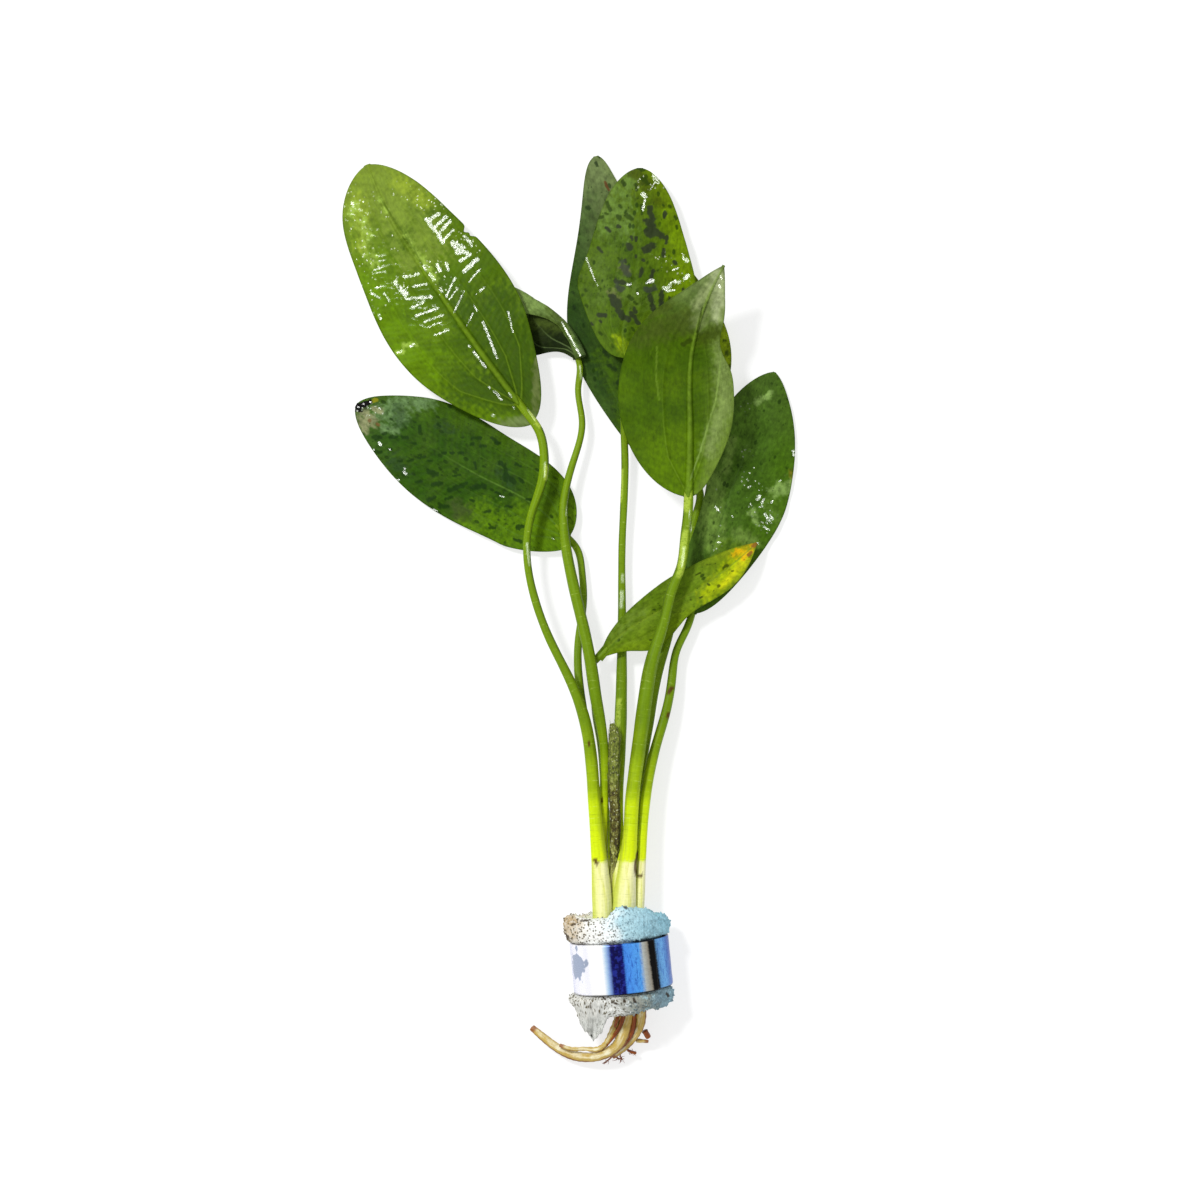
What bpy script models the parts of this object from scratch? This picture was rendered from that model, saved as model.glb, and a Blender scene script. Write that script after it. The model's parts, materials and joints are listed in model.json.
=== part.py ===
# Amazon sword plant, bunched: eight leaves on stalks, a foam wrap, a metal strip and cut roots.
# It lies on a table top at z = 0 with its leaf tips towards +Y, and is seen from above, +X to the right.
# The tables below are in millimetres, and the meshes are built in metres.

import math

import bmesh
import bpy
import numpy as np

MM = 0.001

# Driving sizes, in millimetres.
GAP = 0.3  # left between two pieces that touch
LAMINA = 0.75  # thickness of a leaf blade
MIDRIB = 2.0  # thickness of a blade along its midrib, at the base
RIB_HALF_WIDTH = 1.1  # half the width of a midrib, at the base
TIP_HALF_WIDTH = 0.3
BLADE_COLUMNS = 8
BLADE_ROWS = 16
STALK_SPACING = 9.0  # length of one straight run of a stalk
ROOT_SPACING = 3.2
END_RUN = 1.0  # first and last run of a stalk or root

STRIP_WIDTH = 12.5  # metal strip
STRIP_THICKNESS = 0.8
STRIP_HALF_SPAN = 12.3  # half the distance across the wound strip, outside
SQUASH = 0.8  # height of the wound ring over its width
RING_Y = 1.6  # middle of the ring along the plant
RING_Z = 9.5  # middle of the ring above the table
RING_TURN = 5.5  # degrees that the ring is turned about Z
RING_LEAN = 3.4  # degrees that its top leans towards the roots

CROWN_TOP = 6.0  # the stump that carries stalks and roots, from here
CROWN_BOTTOM = -8.0  # to here along Y
CROWN_HALF_WIDTH = 6.5

# Where along a blade its half widths are given, from the base, 0, to the tip, 1.
WIDTH_PLACES = (0.08, 0.25, 0.5, 0.75, 0.92)

# One leaf each. rib: points (x, y, z) of the midrib from base to tip.
# ends: how the outline closes at base and tip, from 0.5, round, to 1, pointed.
# left and right are as seen looking from base to tip: half widths at WIDTH_PLACES, then the angle
# at which that half leaves the midrib and the angle that it curls by up to its margin, each in
# degrees at the base, the middle and the tip. A fold says between which shares of the half width
# it does all of its curling. ridge is 1 where the midrib stands up on the side that faces up,
# because the leaf lies with its underside up, and -1 where it stands out below.
# stalk: points (x, y, z, diameter) from the crown up to the blade.
LEAVES = {
    "upper_left": {
        "rib": [(-25.3, 140.3, 8.4), (-33.8, 151.7, 8.2), (-48.7, 173.0, 6.4),
                (-58.2, 188.0, 3.6), (-63.4, 200.1, 0.9)],
        "ends": (0.55, 0.6),
        "left": ((9.8, 15.7, 16.6, 12.8, 7.4), (-5, -5, 0), (0, 2, 0)),
        "right": ((8.3, 14.5, 16.0, 12.8, 6.6), (6, 4, 0), (-4, -4, 0)),
        "ridge": 1,
        "stalk": [(-3.9, 6.3, 12.2, 3.2), (-4.7, 19.0, 12.5, 3.6), (-5.6, 30.0, 12.2, 3.0),
                  (-6.5, 42.1, 12.0, 2.8), (-9.0, 61.9, 12.0, 2.7), (-12.7, 71.7, 12.0, 2.3),
                  (-17.6, 81.6, 11.6, 2.1), (-21.3, 91.5, 11.0, 2.0), (-23.4, 104.6, 10.4, 1.8),
                  (-22.3, 112.5, 10.2, 2.0), (-19.6, 121.0, 10.0, 2.3), (-19.2, 128.5, 9.8, 2.2),
                  (-20.4, 133.4, 9.6, 2.1)],
    },
    "lower_left": {
        "rib": [(-13.3, 106.9, 3.8), (-21.0, 114.7, 4.0), (-34.0, 121.8, 3.4),
                (-51.2, 132.0, 1.9), (-66.2, 140.2, 1.0)],
        "ends": (0.55, 0.6),
        "left": ((9.5, 13.0, 13.2, 10.8, 5.8), (-4, -5, 0), (0, 0, 0)),
        "right": ((7.4, 11.0, 12.4, 10.5, 5.3), (-4, -4, 0), (0, 0, 0)),
        "ridge": -1,
        "stalk": [(-3.9, 6.3, 6.0, 2.1), (-4.6, 19.0, 6.3, 2.3), (-5.8, 30.0, 6.7, 2.1),
                  (-6.9, 44.0, 7.6, 2.0), (-8.2, 57.0, 8.0, 2.0), (-10.3, 70.0, 6.8, 2.0),
                  (-10.6, 81.5, 4.7, 1.9), (-9.4, 91.0, 3.5, 1.8), (-9.8, 99.0, 3.0, 1.7)],
    },
    "folded": {
        "rib": [(-10.4, 151.6, 4.8), (-12.3, 155.7, 4.5), (-15.4, 160.0, 4.2), (-22.6, 166.0, 3.6),
                (-30.6, 170.2, 2.8)],
        "ends": (0.6, 0.6),
        "left": ((2.6, 9.6, 11.5, 9.0, 4.5), (-9, -7, -3), (-4, -4, 0)),
        "right": ((2.0, 3.6, 7.0, 7.6, 4.5), (8, 8, 8), (60, 150, 160)),
        "fold": (0.12, 0.42),
        "ridge": -1,
        "stalk": [(-4.3, 6.3, 8.8, 2.2), (-4.4, 19.0, 9.1, 2.5), (-4.5, 30.0, 9.3, 2.4),
                  (-4.3, 42.0, 9.6, 2.3), (-4.5, 56.9, 9.8, 2.4), (-6.2, 66.8, 9.8, 2.9),
                  (-7.7, 76.7, 9.6, 2.9), (-10.7, 90.3, 8.6, 2.8), (-13.6, 104.0, 7.8, 2.5),
                  (-14.3, 115.1, 7.2, 2.1), (-11.6, 126.8, 6.0, 1.7), (-9.6, 135.7, 5.4, 1.6),
                  (-10.0, 144.0, 4.8, 1.6)],
    },
    "top_front": {
        "rib": [(1.5, 150.5, 7.9), (0.1, 155.5, 8.2), (1.9, 165.0, 8.2), (4.0, 178.0, 7.4),
                (4.7, 198.9, 5.8)],
        "ends": (0.5, 0.55),
        "left": ((7.0, 13.3, 12.9, 10.0, 6.0), (-4, -5, -3), (-8, -10, -4)),
        "right": ((8.0, 15.5, 14.5, 9.8, 5.7), (-3, -3, -3), (-8, -10, -4)),
        "ridge": -1,
        "stalk": [(-0.6, 6.3, 9.6, 2.4), (-0.6, 19.0, 9.8, 2.6), (-0.8, 30.0, 8.3, 2.8),
                  (-0.9, 42.0, 7.0, 2.8), (-0.5, 51.7, 6.0, 2.9), (0.0, 66.6, 4.6, 2.9),
                  (0.2, 91.5, 4.0, 1.9), (0.2, 103.9, 4.2, 1.8), (0.9, 128.0, 5.6, 1.8),
                  (1.2, 141.2, 6.6, 1.8)],
    },
    "top_back": {
        "rib": [(18.0, 121.2, 3.3), (13.4, 130.0, 3.4), (7.6, 145.0, 3.1), (2.6, 163.0, 2.6),
                (-1.6, 182.0, 1.7), (-6.2, 202.4, 1.0)],
        "ends": (0.6, 0.9),
        "left": ((7.0, 12.6, 16.6, 10.0, 4.2), (0, 0, 0), (-3, -3, 0)),
        "right": ((9.0, 19.0, 20.5, 10.5, 3.4), (0, 0, 0), (-3, -3, 0)),
        "ridge": -1,
        "stalk": [(3.2, 6.3, 7.8, 2.4), (3.4, 19.0, 7.9, 2.5), (3.5, 30.0, 7.4, 2.4),
                  (3.8, 42.0, 6.8, 2.4), (5.0, 50.0, 6.2, 2.4), (7.0, 61.2, 5.6, 2.3),
                  (9.2, 73.2, 4.8, 2.2), (11.2, 80.2, 4.2, 2.1), (13.4, 88.9, 3.4, 2.0),
                  (15.4, 96.4, 2.8, 2.0), (17.2, 103.6, 2.4, 2.0), (18.3, 111.5, 2.3, 2.0)],
    },
    "front": {
        "rib": [(16.6, 116.9, 12.0), (17.0, 136.0, 12.0), (17.4, 152.5, 12.4), (19.2, 160.0, 15.6),
                (22.2, 167.8, 20.0), (25.0, 173.2, 24.0)],
        "ends": (0.5, 0.9),
        "left": ((11.4, 16.4, 17.2, 10.0, 3.0), (-5, -4, 10), (4, 6, 8)),
        "right": ((6.5, 11.5, 13.0, 8.0, 2.8), (2, 4, 0), (30, 62, 20)),
        "fold": (0.45, 0.8),
        "ridge": 1,
        "stalk": [(1.2, 6.3, 12.7, 3.2), (1.7, 19.9, 12.4, 3.4), (2.0, 30.0, 12.3, 3.3),
                  (2.7, 42.1, 12.2, 3.4), (3.9, 52.0, 12.2, 3.5), (5.9, 66.8, 12.2, 3.5),
                  (8.3, 79.2, 12.2, 3.1), (10.3, 85.3, 12.3, 2.7), (12.5, 94.0, 12.4, 2.4),
                  (14.6, 99.4, 12.6, 2.2), (15.8, 107.5, 12.8, 2.4)],
    },
    "right": {
        "rib": [(17.6, 88.2, 5.2), (22.2, 102.4, 4.7), (28.4, 121.4, 3.8), (32.3, 131.6, 3.1),
                (35.6, 141.5, 2.1), (38.4, 148.4, 1.3)],
        "ends": (0.6, 0.7),
        "left": ((4.5, 6.0, 6.5, 9.2, 5.0), (8, 8, 6), (0, 0, 0)),
        "right": ((5.7, 10.8, 14.6, 11.2, 5.8), (-8, -9, -3), (0, 0, 0)),
        "ridge": -1,
        "stalk": [(4.0, 6.3, 10.8, 2.4), (4.6, 19.0, 10.6, 2.4), (5.1, 30.0, 10.0, 2.3),
                  (5.9, 42.0, 8.9, 2.6), (8.5, 55.0, 7.6, 2.5), (11.4, 65.0, 6.4, 2.3),
                  (12.6, 72.0, 5.5, 2.1), (13.8, 79.0, 4.9, 1.9)],
    },
    "low_right": {
        "rib": [(-5.6, 77.0, 7.8), (-0.8, 82.3, 8.3), (5.9, 86.8, 8.3), (12.6, 90.5, 8.1),
                (19.6, 94.6, 7.8), (27.0, 99.9, 7.0), (33.7, 105.7, 6.4)],
        "ends": (1.0, 0.9),
        "left": ((1.4, 3.8, 6.0, 5.0, 2.3), (8, 4, -6), (0, 10, 0)),
        "right": ((2.6, 7.6, 5.4, 5.2, 2.5), (-8, 2, 18), (0, 0, 10)),
        "ridge": -1,
        "stalk": [(-1.2, 6.3, 6.2, 2.0), (-1.6, 19.0, 6.0, 2.2), (-3.0, 30.0, 6.0, 2.1),
                  (-4.2, 44.0, 6.2, 2.0), (-5.0, 56.0, 6.3, 2.0), (-6.4, 66.0, 6.4, 2.0),
                  (-7.0, 72.0, 6.5, 2.0)],
    },
}

# Withered stalk: points (x, y, z, diameter).
DEAD_STALK = [(-2.6, 6.3, 9.9, 0.9), (-2.8, 19.0, 10.3, 1.0), (-2.3, 26.0, 11.2, 1.8),
              (-1.8, 34.0, 11.2, 2.4), (-1.7, 42.0, 10.8, 2.5), (-1.7, 52.0, 10.3, 2.4),
              (-1.9, 61.0, 8.8, 1.6)]

# Roots: points (x, y, z, diameter) from the crown outwards.
ROOTS = {
    "root_long": [(1.9, -8.6, 8.6, 3.0), (1.7, -11.1, 8.0, 3.2), (0.5, -16.2, 7.6, 3.0),
                  (-1.4, -19.6, 6.8, 2.7), (-4.3, -21.4, 5.5, 2.5), (-7.3, -22.3, 4.2, 2.4),
                  (-12.1, -21.9, 2.8, 2.4), (-16.2, -20.0, 2.2, 2.2), (-19.3, -17.7, 1.8, 1.9),
                  (-22.2, -15.3, 1.4, 1.6)],
    "root_left": [(-0.6, -8.6, 10.2, 1.5), (-0.8, -11.9, 9.4, 1.5), (-2.6, -16.1, 8.2, 1.3),
                  (-4.3, -19.1, 7.2, 1.2), (-6.0, -20.1, 6.4, 1.1), (-9.0, -20.1, 5.4, 1.0),
                  (-12.2, -20.2, 5.0, 0.9), (-15.2, -19.3, 4.4, 0.8)],
    "root_right": [(5.0, -8.6, 9.8, 2.3), (4.8, -13.4, 7.8, 2.3), (3.8, -16.1, 6.4, 2.1),
                   (2.2, -18.3, 5.0, 2.0), (-0.3, -20.8, 3.5, 1.8), (-2.0, -22.2, 2.8, 1.5)],
    "root_red": [(3.0, -8.6, 6.2, 1.4), (3.0, -11.3, 5.6, 1.4), (1.9, -16.4, 3.8, 1.2),
                 (-0.5, -19.6, 1.9, 1.0), (-2.6, -21.0, 1.2, 0.9)],
    "root_stub_upper": [(5.9, -15.6, 6.2, 1.5), (6.8, -17.2, 5.7, 1.3)],
    "root_stub_lower": [(3.9, -18.1, 4.8, 1.0), (6.7, -18.4, 4.2, 0.8)],
}

# Base colour, roughness and metallic value of each material.
FINISHES = {
    "leaf_green": ((0.10, 0.24, 0.02), 0.35, 0.0),
    "stalk_green": ((0.30, 0.48, 0.04), 0.4, 0.0),
    "dead_brown": ((0.16, 0.12, 0.05), 0.8, 0.0),
    "crown_cream": ((0.75, 0.70, 0.35), 0.6, 0.0),
    "root_tan": ((0.60, 0.42, 0.18), 0.55, 0.0),
    "foam_blue": ((0.62, 0.75, 0.80), 0.95, 0.0),
    "strip_metal": ((0.75, 0.78, 0.85), 0.25, 1.0),
}


def clear_scene():
    for old in list(bpy.data.objects):
        bpy.data.objects.remove(old)


def new_collection(name):
    collection = bpy.data.collections.new(name)
    bpy.context.scene.collection.children.link(collection)
    return collection


def make_material(name, colour, roughness, metallic):
    material = bpy.data.materials.new(name)
    material.use_nodes = True
    shader = material.node_tree.nodes["Principled BSDF"]
    shader.inputs["Base Color"].default_value = (*colour, 1)
    shader.inputs["Roughness"].default_value = roughness
    shader.inputs["Metallic"].default_value = metallic
    return material


def add_object(name, data, collection, material):
    """An object of its own for the mesh or curve, with its material."""
    added = bpy.data.objects.new(name, data)
    data.materials.clear()
    data.materials.append(material)
    collection.objects.link(added)
    return added


def shade(mesh):
    mesh.shade_smooth()
    mesh.set_sharp_from_angle(angle=math.radians(50))


def smooth_through(knots, values, places):
    """Natural cubic spline: a row of values at each knot, read at the given places."""
    knots, values = np.asarray(knots, float), np.asarray(values, float)
    step = np.diff(knots)
    slope = np.diff(values, axis=0) / step[:, None]
    system = np.eye(len(knots))
    wanted = np.zeros_like(values)
    for i in range(1, len(knots) - 1):
        system[i, i - 1 : i + 2] = step[i - 1], 2 * (step[i - 1] + step[i]), step[i]
        wanted[i] = 6 * (slope[i] - slope[i - 1])
    bend = np.linalg.solve(system, wanted)
    span = np.clip(np.searchsorted(knots, places) - 1, 0, len(knots) - 2)
    wide = step[span][:, None]
    after = (places - knots[span])[:, None] / wide
    before = 1 - after
    level = before * values[span] + after * values[span + 1]
    sag = (before**3 - before) * bend[span] + (after**3 - after) * bend[span + 1]
    return level + sag * wide**2 / 6


def lengths_along(points):
    """Distance walked from the first point to each point, by x, y and z."""
    runs = np.linalg.norm(np.diff(points[:, :3], axis=0), axis=1)
    return np.concatenate(([0.0], np.cumsum(runs)))


def route(points, fractions):
    """Rows on a smooth curve through the points, at fractions of its length."""
    points = np.asarray(points, float)
    walked = lengths_along(points)
    fine = smooth_through(walked, points, np.linspace(0, walked[-1], 400))
    walked = lengths_along(fine)
    places = np.asarray(fractions) * walked[-1]
    return np.column_stack([np.interp(places, walked, column) for column in fine.T])


def half_width(widths, ends, along):
    """Half width of a blade: through the given widths, and closed by the ends' powers."""

    def rounding(place):
        return place ** ends[0] * (1 - place) ** ends[1]

    places = np.array(WIDTH_PLACES)
    ratios = np.array(widths) / rounding(places)
    knots = np.concatenate(([0.0], places, [1.0]))
    ratios = np.concatenate((ratios[:1], ratios, ratios[-1:]))
    return rounding(np.clip(along, 0.002, 0.998)) * smooth_through(knots, ratios[:, None], along)[:, 0]


def rib_frame(rib, along):
    """Points of the midrib with the directions forward, to the right and out of the upper face."""
    reach = 0.004
    centre = route(rib, along)
    forward = route(rib, np.clip(along + reach, 0, 1)) - route(rib, np.clip(along - reach, 0, 1))
    forward /= np.linalg.norm(forward, axis=1)[:, None]
    right = np.cross(forward, (0.0, 0.0, 1.0))
    right /= np.linalg.norm(right, axis=1)[:, None]
    return centre, forward, right, np.cross(right, forward)


def blade_surface(leaf, along, across):
    """Points of a blade. along runs from base to tip, across from -1, left margin, to 1.

    Each half leaves the midrib at its rise angle and has turned by its curl angle at the margin.
    Out to a share of the half width, it reaches the mean cosine of its angles so far times that
    distance, and climbs their mean sine times it.
    """
    centre, _, right, up = rib_frame(leaf["rib"], along)
    rib = RIB_HALF_WIDTH + (TIP_HALF_WIDTH - RIB_HALF_WIDTH) * along
    first = 2 / BLADE_COLUMNS
    inner = np.minimum(np.abs(across) / first, 1)
    outer = np.clip((np.abs(across) - first) / (1 - first), 0, 1)
    steps = (np.arange(24) + 0.5) / 24
    points = centre.copy()
    for side, sign in (("left", -1), ("right", 1)):
        widths, rise, curl = leaf[side]
        full = np.maximum(half_width(widths, leaf["ends"], along), rib + 0.1)
        distance = rib * inner + (full - rib) * outer
        start, turn = smooth_through((0.0, 0.5, 1.0), np.radians(np.column_stack((rise, curl))), along).T
        turned_by = steps * (distance / full)[:, None]
        if side == "right" and "fold" in leaf:
            folds_from, folds_to = leaf["fold"]
            turned_by = np.clip((turned_by - folds_from) / (folds_to - folds_from), 0, 1)
        angles = start[:, None] + turn[:, None] * turned_by
        out = sign * distance * np.cos(angles).mean(axis=1)
        climb = distance * np.sin(angles).mean(axis=1)
        here = across * sign > 0
        points[here] += (out[:, None] * right + climb[:, None] * up)[here]
    return points


def make_blade(name, leaf, collection, material):
    """A flat grid moved on to the blade's surface, then given its thickness, more at the midrib."""
    sheet = bmesh.new()
    bmesh.ops.create_grid(sheet, x_segments=BLADE_COLUMNS, y_segments=BLADE_ROWS, size=1.0)
    flat = np.array([vertex.co for vertex in sheet.verts])
    even = (flat[:, 1] + 1) / 2
    along = (even + (1 - np.cos(math.pi * even)) / 2) / 2
    across = flat[:, 0]
    for vertex, place in zip(sheet.verts, blade_surface(leaf, along, across) * MM):
        vertex.co = place
    mesh = bpy.data.meshes.new(name)
    sheet.to_mesh(mesh)
    sheet.free()
    blade = add_object(name, mesh, collection, material)

    midrib = blade.vertex_groups.new(name="midrib")
    ridge = np.clip(1 - 2.2 * np.abs(across), 0, 1) * (1 - along) ** 0.7
    for index, weight in enumerate(ridge):
        midrib.add([index], float(weight), "REPLACE")
    wall = blade.modifiers.new("thickness", "SOLIDIFY")
    wall.thickness = MIDRIB * MM
    wall.offset = leaf["ridge"]
    wall.vertex_group = "midrib"
    wall.thickness_vertex_group = LAMINA / MIDRIB
    shade(mesh)


def make_tube(name, points, spacing, collection, material):
    """A round tapering tube along a smooth curve through the points (x, y, z, diameter).

    Its first and last runs are short, so that the end faces stand square to the curve.
    """
    points = np.asarray(points, float)
    length = lengths_along(points)[-1]
    end_run = min(END_RUN, length / 3)
    middle_runs = max(1, round((length - 2 * end_run) / spacing))
    inner = np.linspace(end_run / length, 1 - end_run / length, middle_runs + 1)
    path = route(points, np.concatenate(([0], inner, [1])))
    runs = len(path) - 1
    curve = bpy.data.curves.new(name, "CURVE")
    curve.dimensions = "3D"
    curve.bevel_depth = MM
    curve.bevel_resolution = 2
    curve.use_fill_caps = True
    spline = curve.splines.new("POLY")
    spline.points.add(runs)
    for point, (x, y, z, diameter) in zip(spline.points, path):
        point.co = (x * MM, y * MM, z * MM, 1)
        point.radius = diameter / 2
    spline.use_smooth = True
    return add_object(name, curve, collection, material)


def make_stalk(name, leaf, collection, material):
    """The stalk ends in line with its blade's midrib, with the gap between their end faces."""
    centre, forward, _, up = rib_frame(leaf["rib"], np.array([0.0]))
    axis = centre[0] + up[0] * leaf["ridge"] * MIDRIB / 2
    last = leaf["stalk"][-1][3]
    joined = [(*(axis - forward[0] * back), last) for back in (3.5, GAP + 0.1)]
    make_tube(name, leaf["stalk"] + joined, STALK_SPACING, collection, material)


def turned(name, profile, steps):
    """Mesh of a profile (radius, height) turned about +Z. It runs from axis to axis, or is a loop."""
    outline = bpy.data.meshes.new(name)
    corners = [(radius * MM, 0, height * MM) for radius, height in profile]
    edges = [(i, i + 1) for i in range(len(profile) - 1)]
    if profile[0][0] > 0:
        edges.append((len(profile) - 1, 0))
    outline.from_pydata(corners, edges, [])
    guide = bpy.data.objects.new(name, outline)
    bpy.context.scene.collection.objects.link(guide)
    screw = guide.modifiers.new("turn", "SCREW")
    screw.steps = screw.render_steps = steps
    screw.use_merge_vertices = True
    screw.merge_threshold = 0.00001
    evaluated = guide.evaluated_get(bpy.context.evaluated_depsgraph_get())
    mesh = bpy.data.meshes.new_from_object(evaluated)
    bpy.data.objects.remove(guide)
    return mesh


def set_in_ring(x, y, z):
    """Where a point of the upright ring, in mm from its middle, comes to lie on the plant."""
    turn = math.radians(RING_TURN)
    y = y - math.tan(math.radians(RING_LEAN)) * z
    return (
        x * math.cos(turn) - y * math.sin(turn),
        x * math.sin(turn) + y * math.cos(turn) + RING_Y,
        z + RING_Z,
    )


def make_crown(collection, material):
    """A short turned stump with flat ends, flattened like the ring around it."""
    middle = (CROWN_TOP + CROWN_BOTTOM) / 2
    half = (CROWN_TOP - CROWN_BOTTOM) / 2
    wide = CROWN_HALF_WIDTH
    profile = [(0.0, half), (wide - 0.6, half), (wide, half - 1.5), (wide - 0.3, 0.0),
               (wide, 1.5 - half), (wide - 0.6, -half), (0.0, -half)]
    mesh = turned("crown", profile, 14)
    for vertex in mesh.vertices:
        x, y, height = vertex.co / MM
        along = height + middle
        aside = math.tan(math.radians(RING_TURN)) * (along - RING_Y)
        vertex.co = ((x - aside) * MM, along * MM, (RING_Z - y * SQUASH) * MM)
    add_object("crown", mesh, collection, material)
    shade(mesh)


def make_foam(collection, cutters, material):
    """A thick ring that bulges above and below the metal strip, with a loose end and a tail."""
    under = STRIP_HALF_SPAN - STRIP_THICKNESS - GAP
    strip = STRIP_WIDTH / 2 + GAP
    profile = [(9.6, 12.6), (11.7, 11.8), (12.7, 9.7), (12.3, strip + 0.9), (under, strip),
               (under, -strip), (11.9, -strip - 0.5), (12.1, -8.4), (11.3, -10.4), (9.7, -11.4),
               (7.9, -10.8), (7.3, -9.2), (7.3, 9.8), (8.1, 12.0)]
    mesh = turned("foam_wrap", profile, 24)
    for vertex in mesh.vertices:
        x, y, height = vertex.co / MM
        floor = 0.25 if abs(height) > strip + 0.1 else STRIP_THICKNESS + GAP
        x, y, z = set_in_ring(x, height, -y * SQUASH)
        vertex.co = (x * MM, y * MM, max(z, floor) * MM)
    foam = add_object("foam_wrap", mesh, collection, material)
    shade(mesh)
    add_lump(foam, cutters, "loose_end", (-11.9, 10.8, 11.4), (3.3, 3.3, 4.0))
    add_lump(foam, cutters, "tail", (-7.4, -13.2, 4.6), (3.6, 5.8, 2.2))


def add_lump(foam, cutters, name, centre, halves):
    """An egg-shaped lump joined on to the foam."""
    mesh = bpy.data.meshes.new(name)
    egg = bmesh.new()
    bmesh.ops.create_uvsphere(egg, u_segments=10, v_segments=6, radius=1.0)
    for vertex in egg.verts:
        vertex.co = [(place + share * half) * MM for place, share, half in zip(centre, vertex.co, halves)]
    egg.to_mesh(mesh)
    egg.free()
    lump = bpy.data.objects.new(name, mesh)
    cutters.objects.link(lump)
    lump.hide_render = True
    lump.display_type = "WIRE"
    join = foam.modifiers.new(name, "BOOLEAN")
    join.operation = "UNION"
    join.solver = "EXACT"
    join.object = lump


def make_strip(collection, material):
    """The metal strip: a flat band wound once round the foam, its outer end lapped over its start."""
    start, lap, rise_from, rise_to = 14.0, 26.0, 290.0, 370.0
    lift = STRIP_THICKNESS + GAP
    sheet = bmesh.new()
    bmesh.ops.create_grid(sheet, x_segments=44, y_segments=1, size=1.0)
    for vertex in sheet.verts:
        degrees = start + (360.0 + lap) * (vertex.co.x + 1) / 2
        climb = min(max((degrees - rise_from) / (rise_to - rise_from), 0), 1)
        reach = STRIP_HALF_SPAN + lift * climb * climb * (3 - 2 * climb)
        turn = math.radians(degrees)
        sideways = reach * math.sin(turn)
        height = reach * math.cos(turn) * SQUASH
        x, y, z = set_in_ring(sideways, vertex.co.y * STRIP_WIDTH / 2, height)
        vertex.co = (x * MM, y * MM, max(z, 0.0) * MM)
    mesh = bpy.data.meshes.new("weight_band")
    sheet.to_mesh(mesh)
    sheet.free()
    band = add_object("weight_band", mesh, collection, material)
    wall = band.modifiers.new("thickness", "SOLIDIFY")
    wall.thickness = STRIP_THICKNESS * MM
    wall.offset = -1
    shade(mesh)


def main():
    clear_scene()
    plant = new_collection("amazon sword plant")
    cutters = new_collection("cutters")
    finish = {name: make_material(name, *values) for name, values in FINISHES.items()}
    for name, leaf in LEAVES.items():
        make_blade("blade_" + name, leaf, plant, finish["leaf_green"])
        make_stalk("stalk_" + name, leaf, plant, finish["stalk_green"])
    make_tube("dead_stalk", DEAD_STALK, STALK_SPACING, plant, finish["dead_brown"])
    make_crown(plant, finish["crown_cream"])
    for name, points in ROOTS.items():
        make_tube(name, points, ROOT_SPACING, plant, finish["root_tan"])
    make_foam(plant, cutters, finish["foam_blue"])
    make_strip(plant, finish["strip_metal"])


main()
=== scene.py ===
import json
import math

import bpy
import numpy as np
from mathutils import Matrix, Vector


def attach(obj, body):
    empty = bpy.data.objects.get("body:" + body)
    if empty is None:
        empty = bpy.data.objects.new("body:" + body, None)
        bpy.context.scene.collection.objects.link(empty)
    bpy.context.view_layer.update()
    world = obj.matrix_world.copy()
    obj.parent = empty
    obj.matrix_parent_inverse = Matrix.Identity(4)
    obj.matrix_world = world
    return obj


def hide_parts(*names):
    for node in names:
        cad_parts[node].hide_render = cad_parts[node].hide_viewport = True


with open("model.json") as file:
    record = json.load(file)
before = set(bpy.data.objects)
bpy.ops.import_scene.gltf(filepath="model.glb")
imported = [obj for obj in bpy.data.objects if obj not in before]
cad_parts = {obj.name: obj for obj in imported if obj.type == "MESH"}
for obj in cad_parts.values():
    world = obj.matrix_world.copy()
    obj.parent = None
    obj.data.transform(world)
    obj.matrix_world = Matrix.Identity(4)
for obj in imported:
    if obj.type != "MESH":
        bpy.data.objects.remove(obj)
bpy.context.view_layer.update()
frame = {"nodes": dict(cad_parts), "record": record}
print("frame loaded:", len(frame["nodes"]), "nodes")

mm = 0.001  # the tables are in millimetres, the meshes in metres

# The camera looks straight down on the plant, whose leaf tips point up the picture.
view = {
    "middle": (-5.25, 91.5),  # plant X and Y under the middle of the picture
    "height": 1000.0,
    "lens": 120.0,
    "pixel": 0.25,  # size of one of the photo's 1200 pixels, on the table
    "centrePixel": 600,
}


# Curves through points

def smoothThrough(knots, values, places):
    # Natural cubic spline: a row of values at each knot, read at the places.
    knots, values = np.asarray(knots, float), np.asarray(values, float)
    step = np.diff(knots)
    slope = np.diff(values, axis=0) / step[:, None]
    system = np.eye(len(knots))
    wanted = np.zeros_like(values)
    for i in range(1, len(knots) - 1):
        system[i, i - 1:i + 2] = step[i - 1], 2 * (step[i - 1] + step[i]), step[i]
        wanted[i] = 6 * (slope[i] - slope[i - 1])
    bend = np.linalg.solve(system, wanted)
    span = np.clip(np.searchsorted(knots, places) - 1, 0, len(knots) - 2)
    wide = step[span][:, None]
    after = (places - knots[span])[:, None] / wide
    before = 1 - after
    level = before * values[span] + after * values[span + 1]
    sag = (before**3 - before) * bend[span] + (after**3 - after) * bend[span + 1]
    return level + sag * wide**2 / 6


def unit(vectors):
    # Vectors over their lengths.
    return vectors / np.linalg.norm(vectors, axis=-1, keepdims=True)


def lengthsAlong(points):
    # How far each row lies along the path: the running sum of the distances between rows.
    runs = np.linalg.norm(np.diff(points[:, :3], axis=0), axis=1)
    return np.concatenate(([0.0], np.cumsum(runs)))


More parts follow.
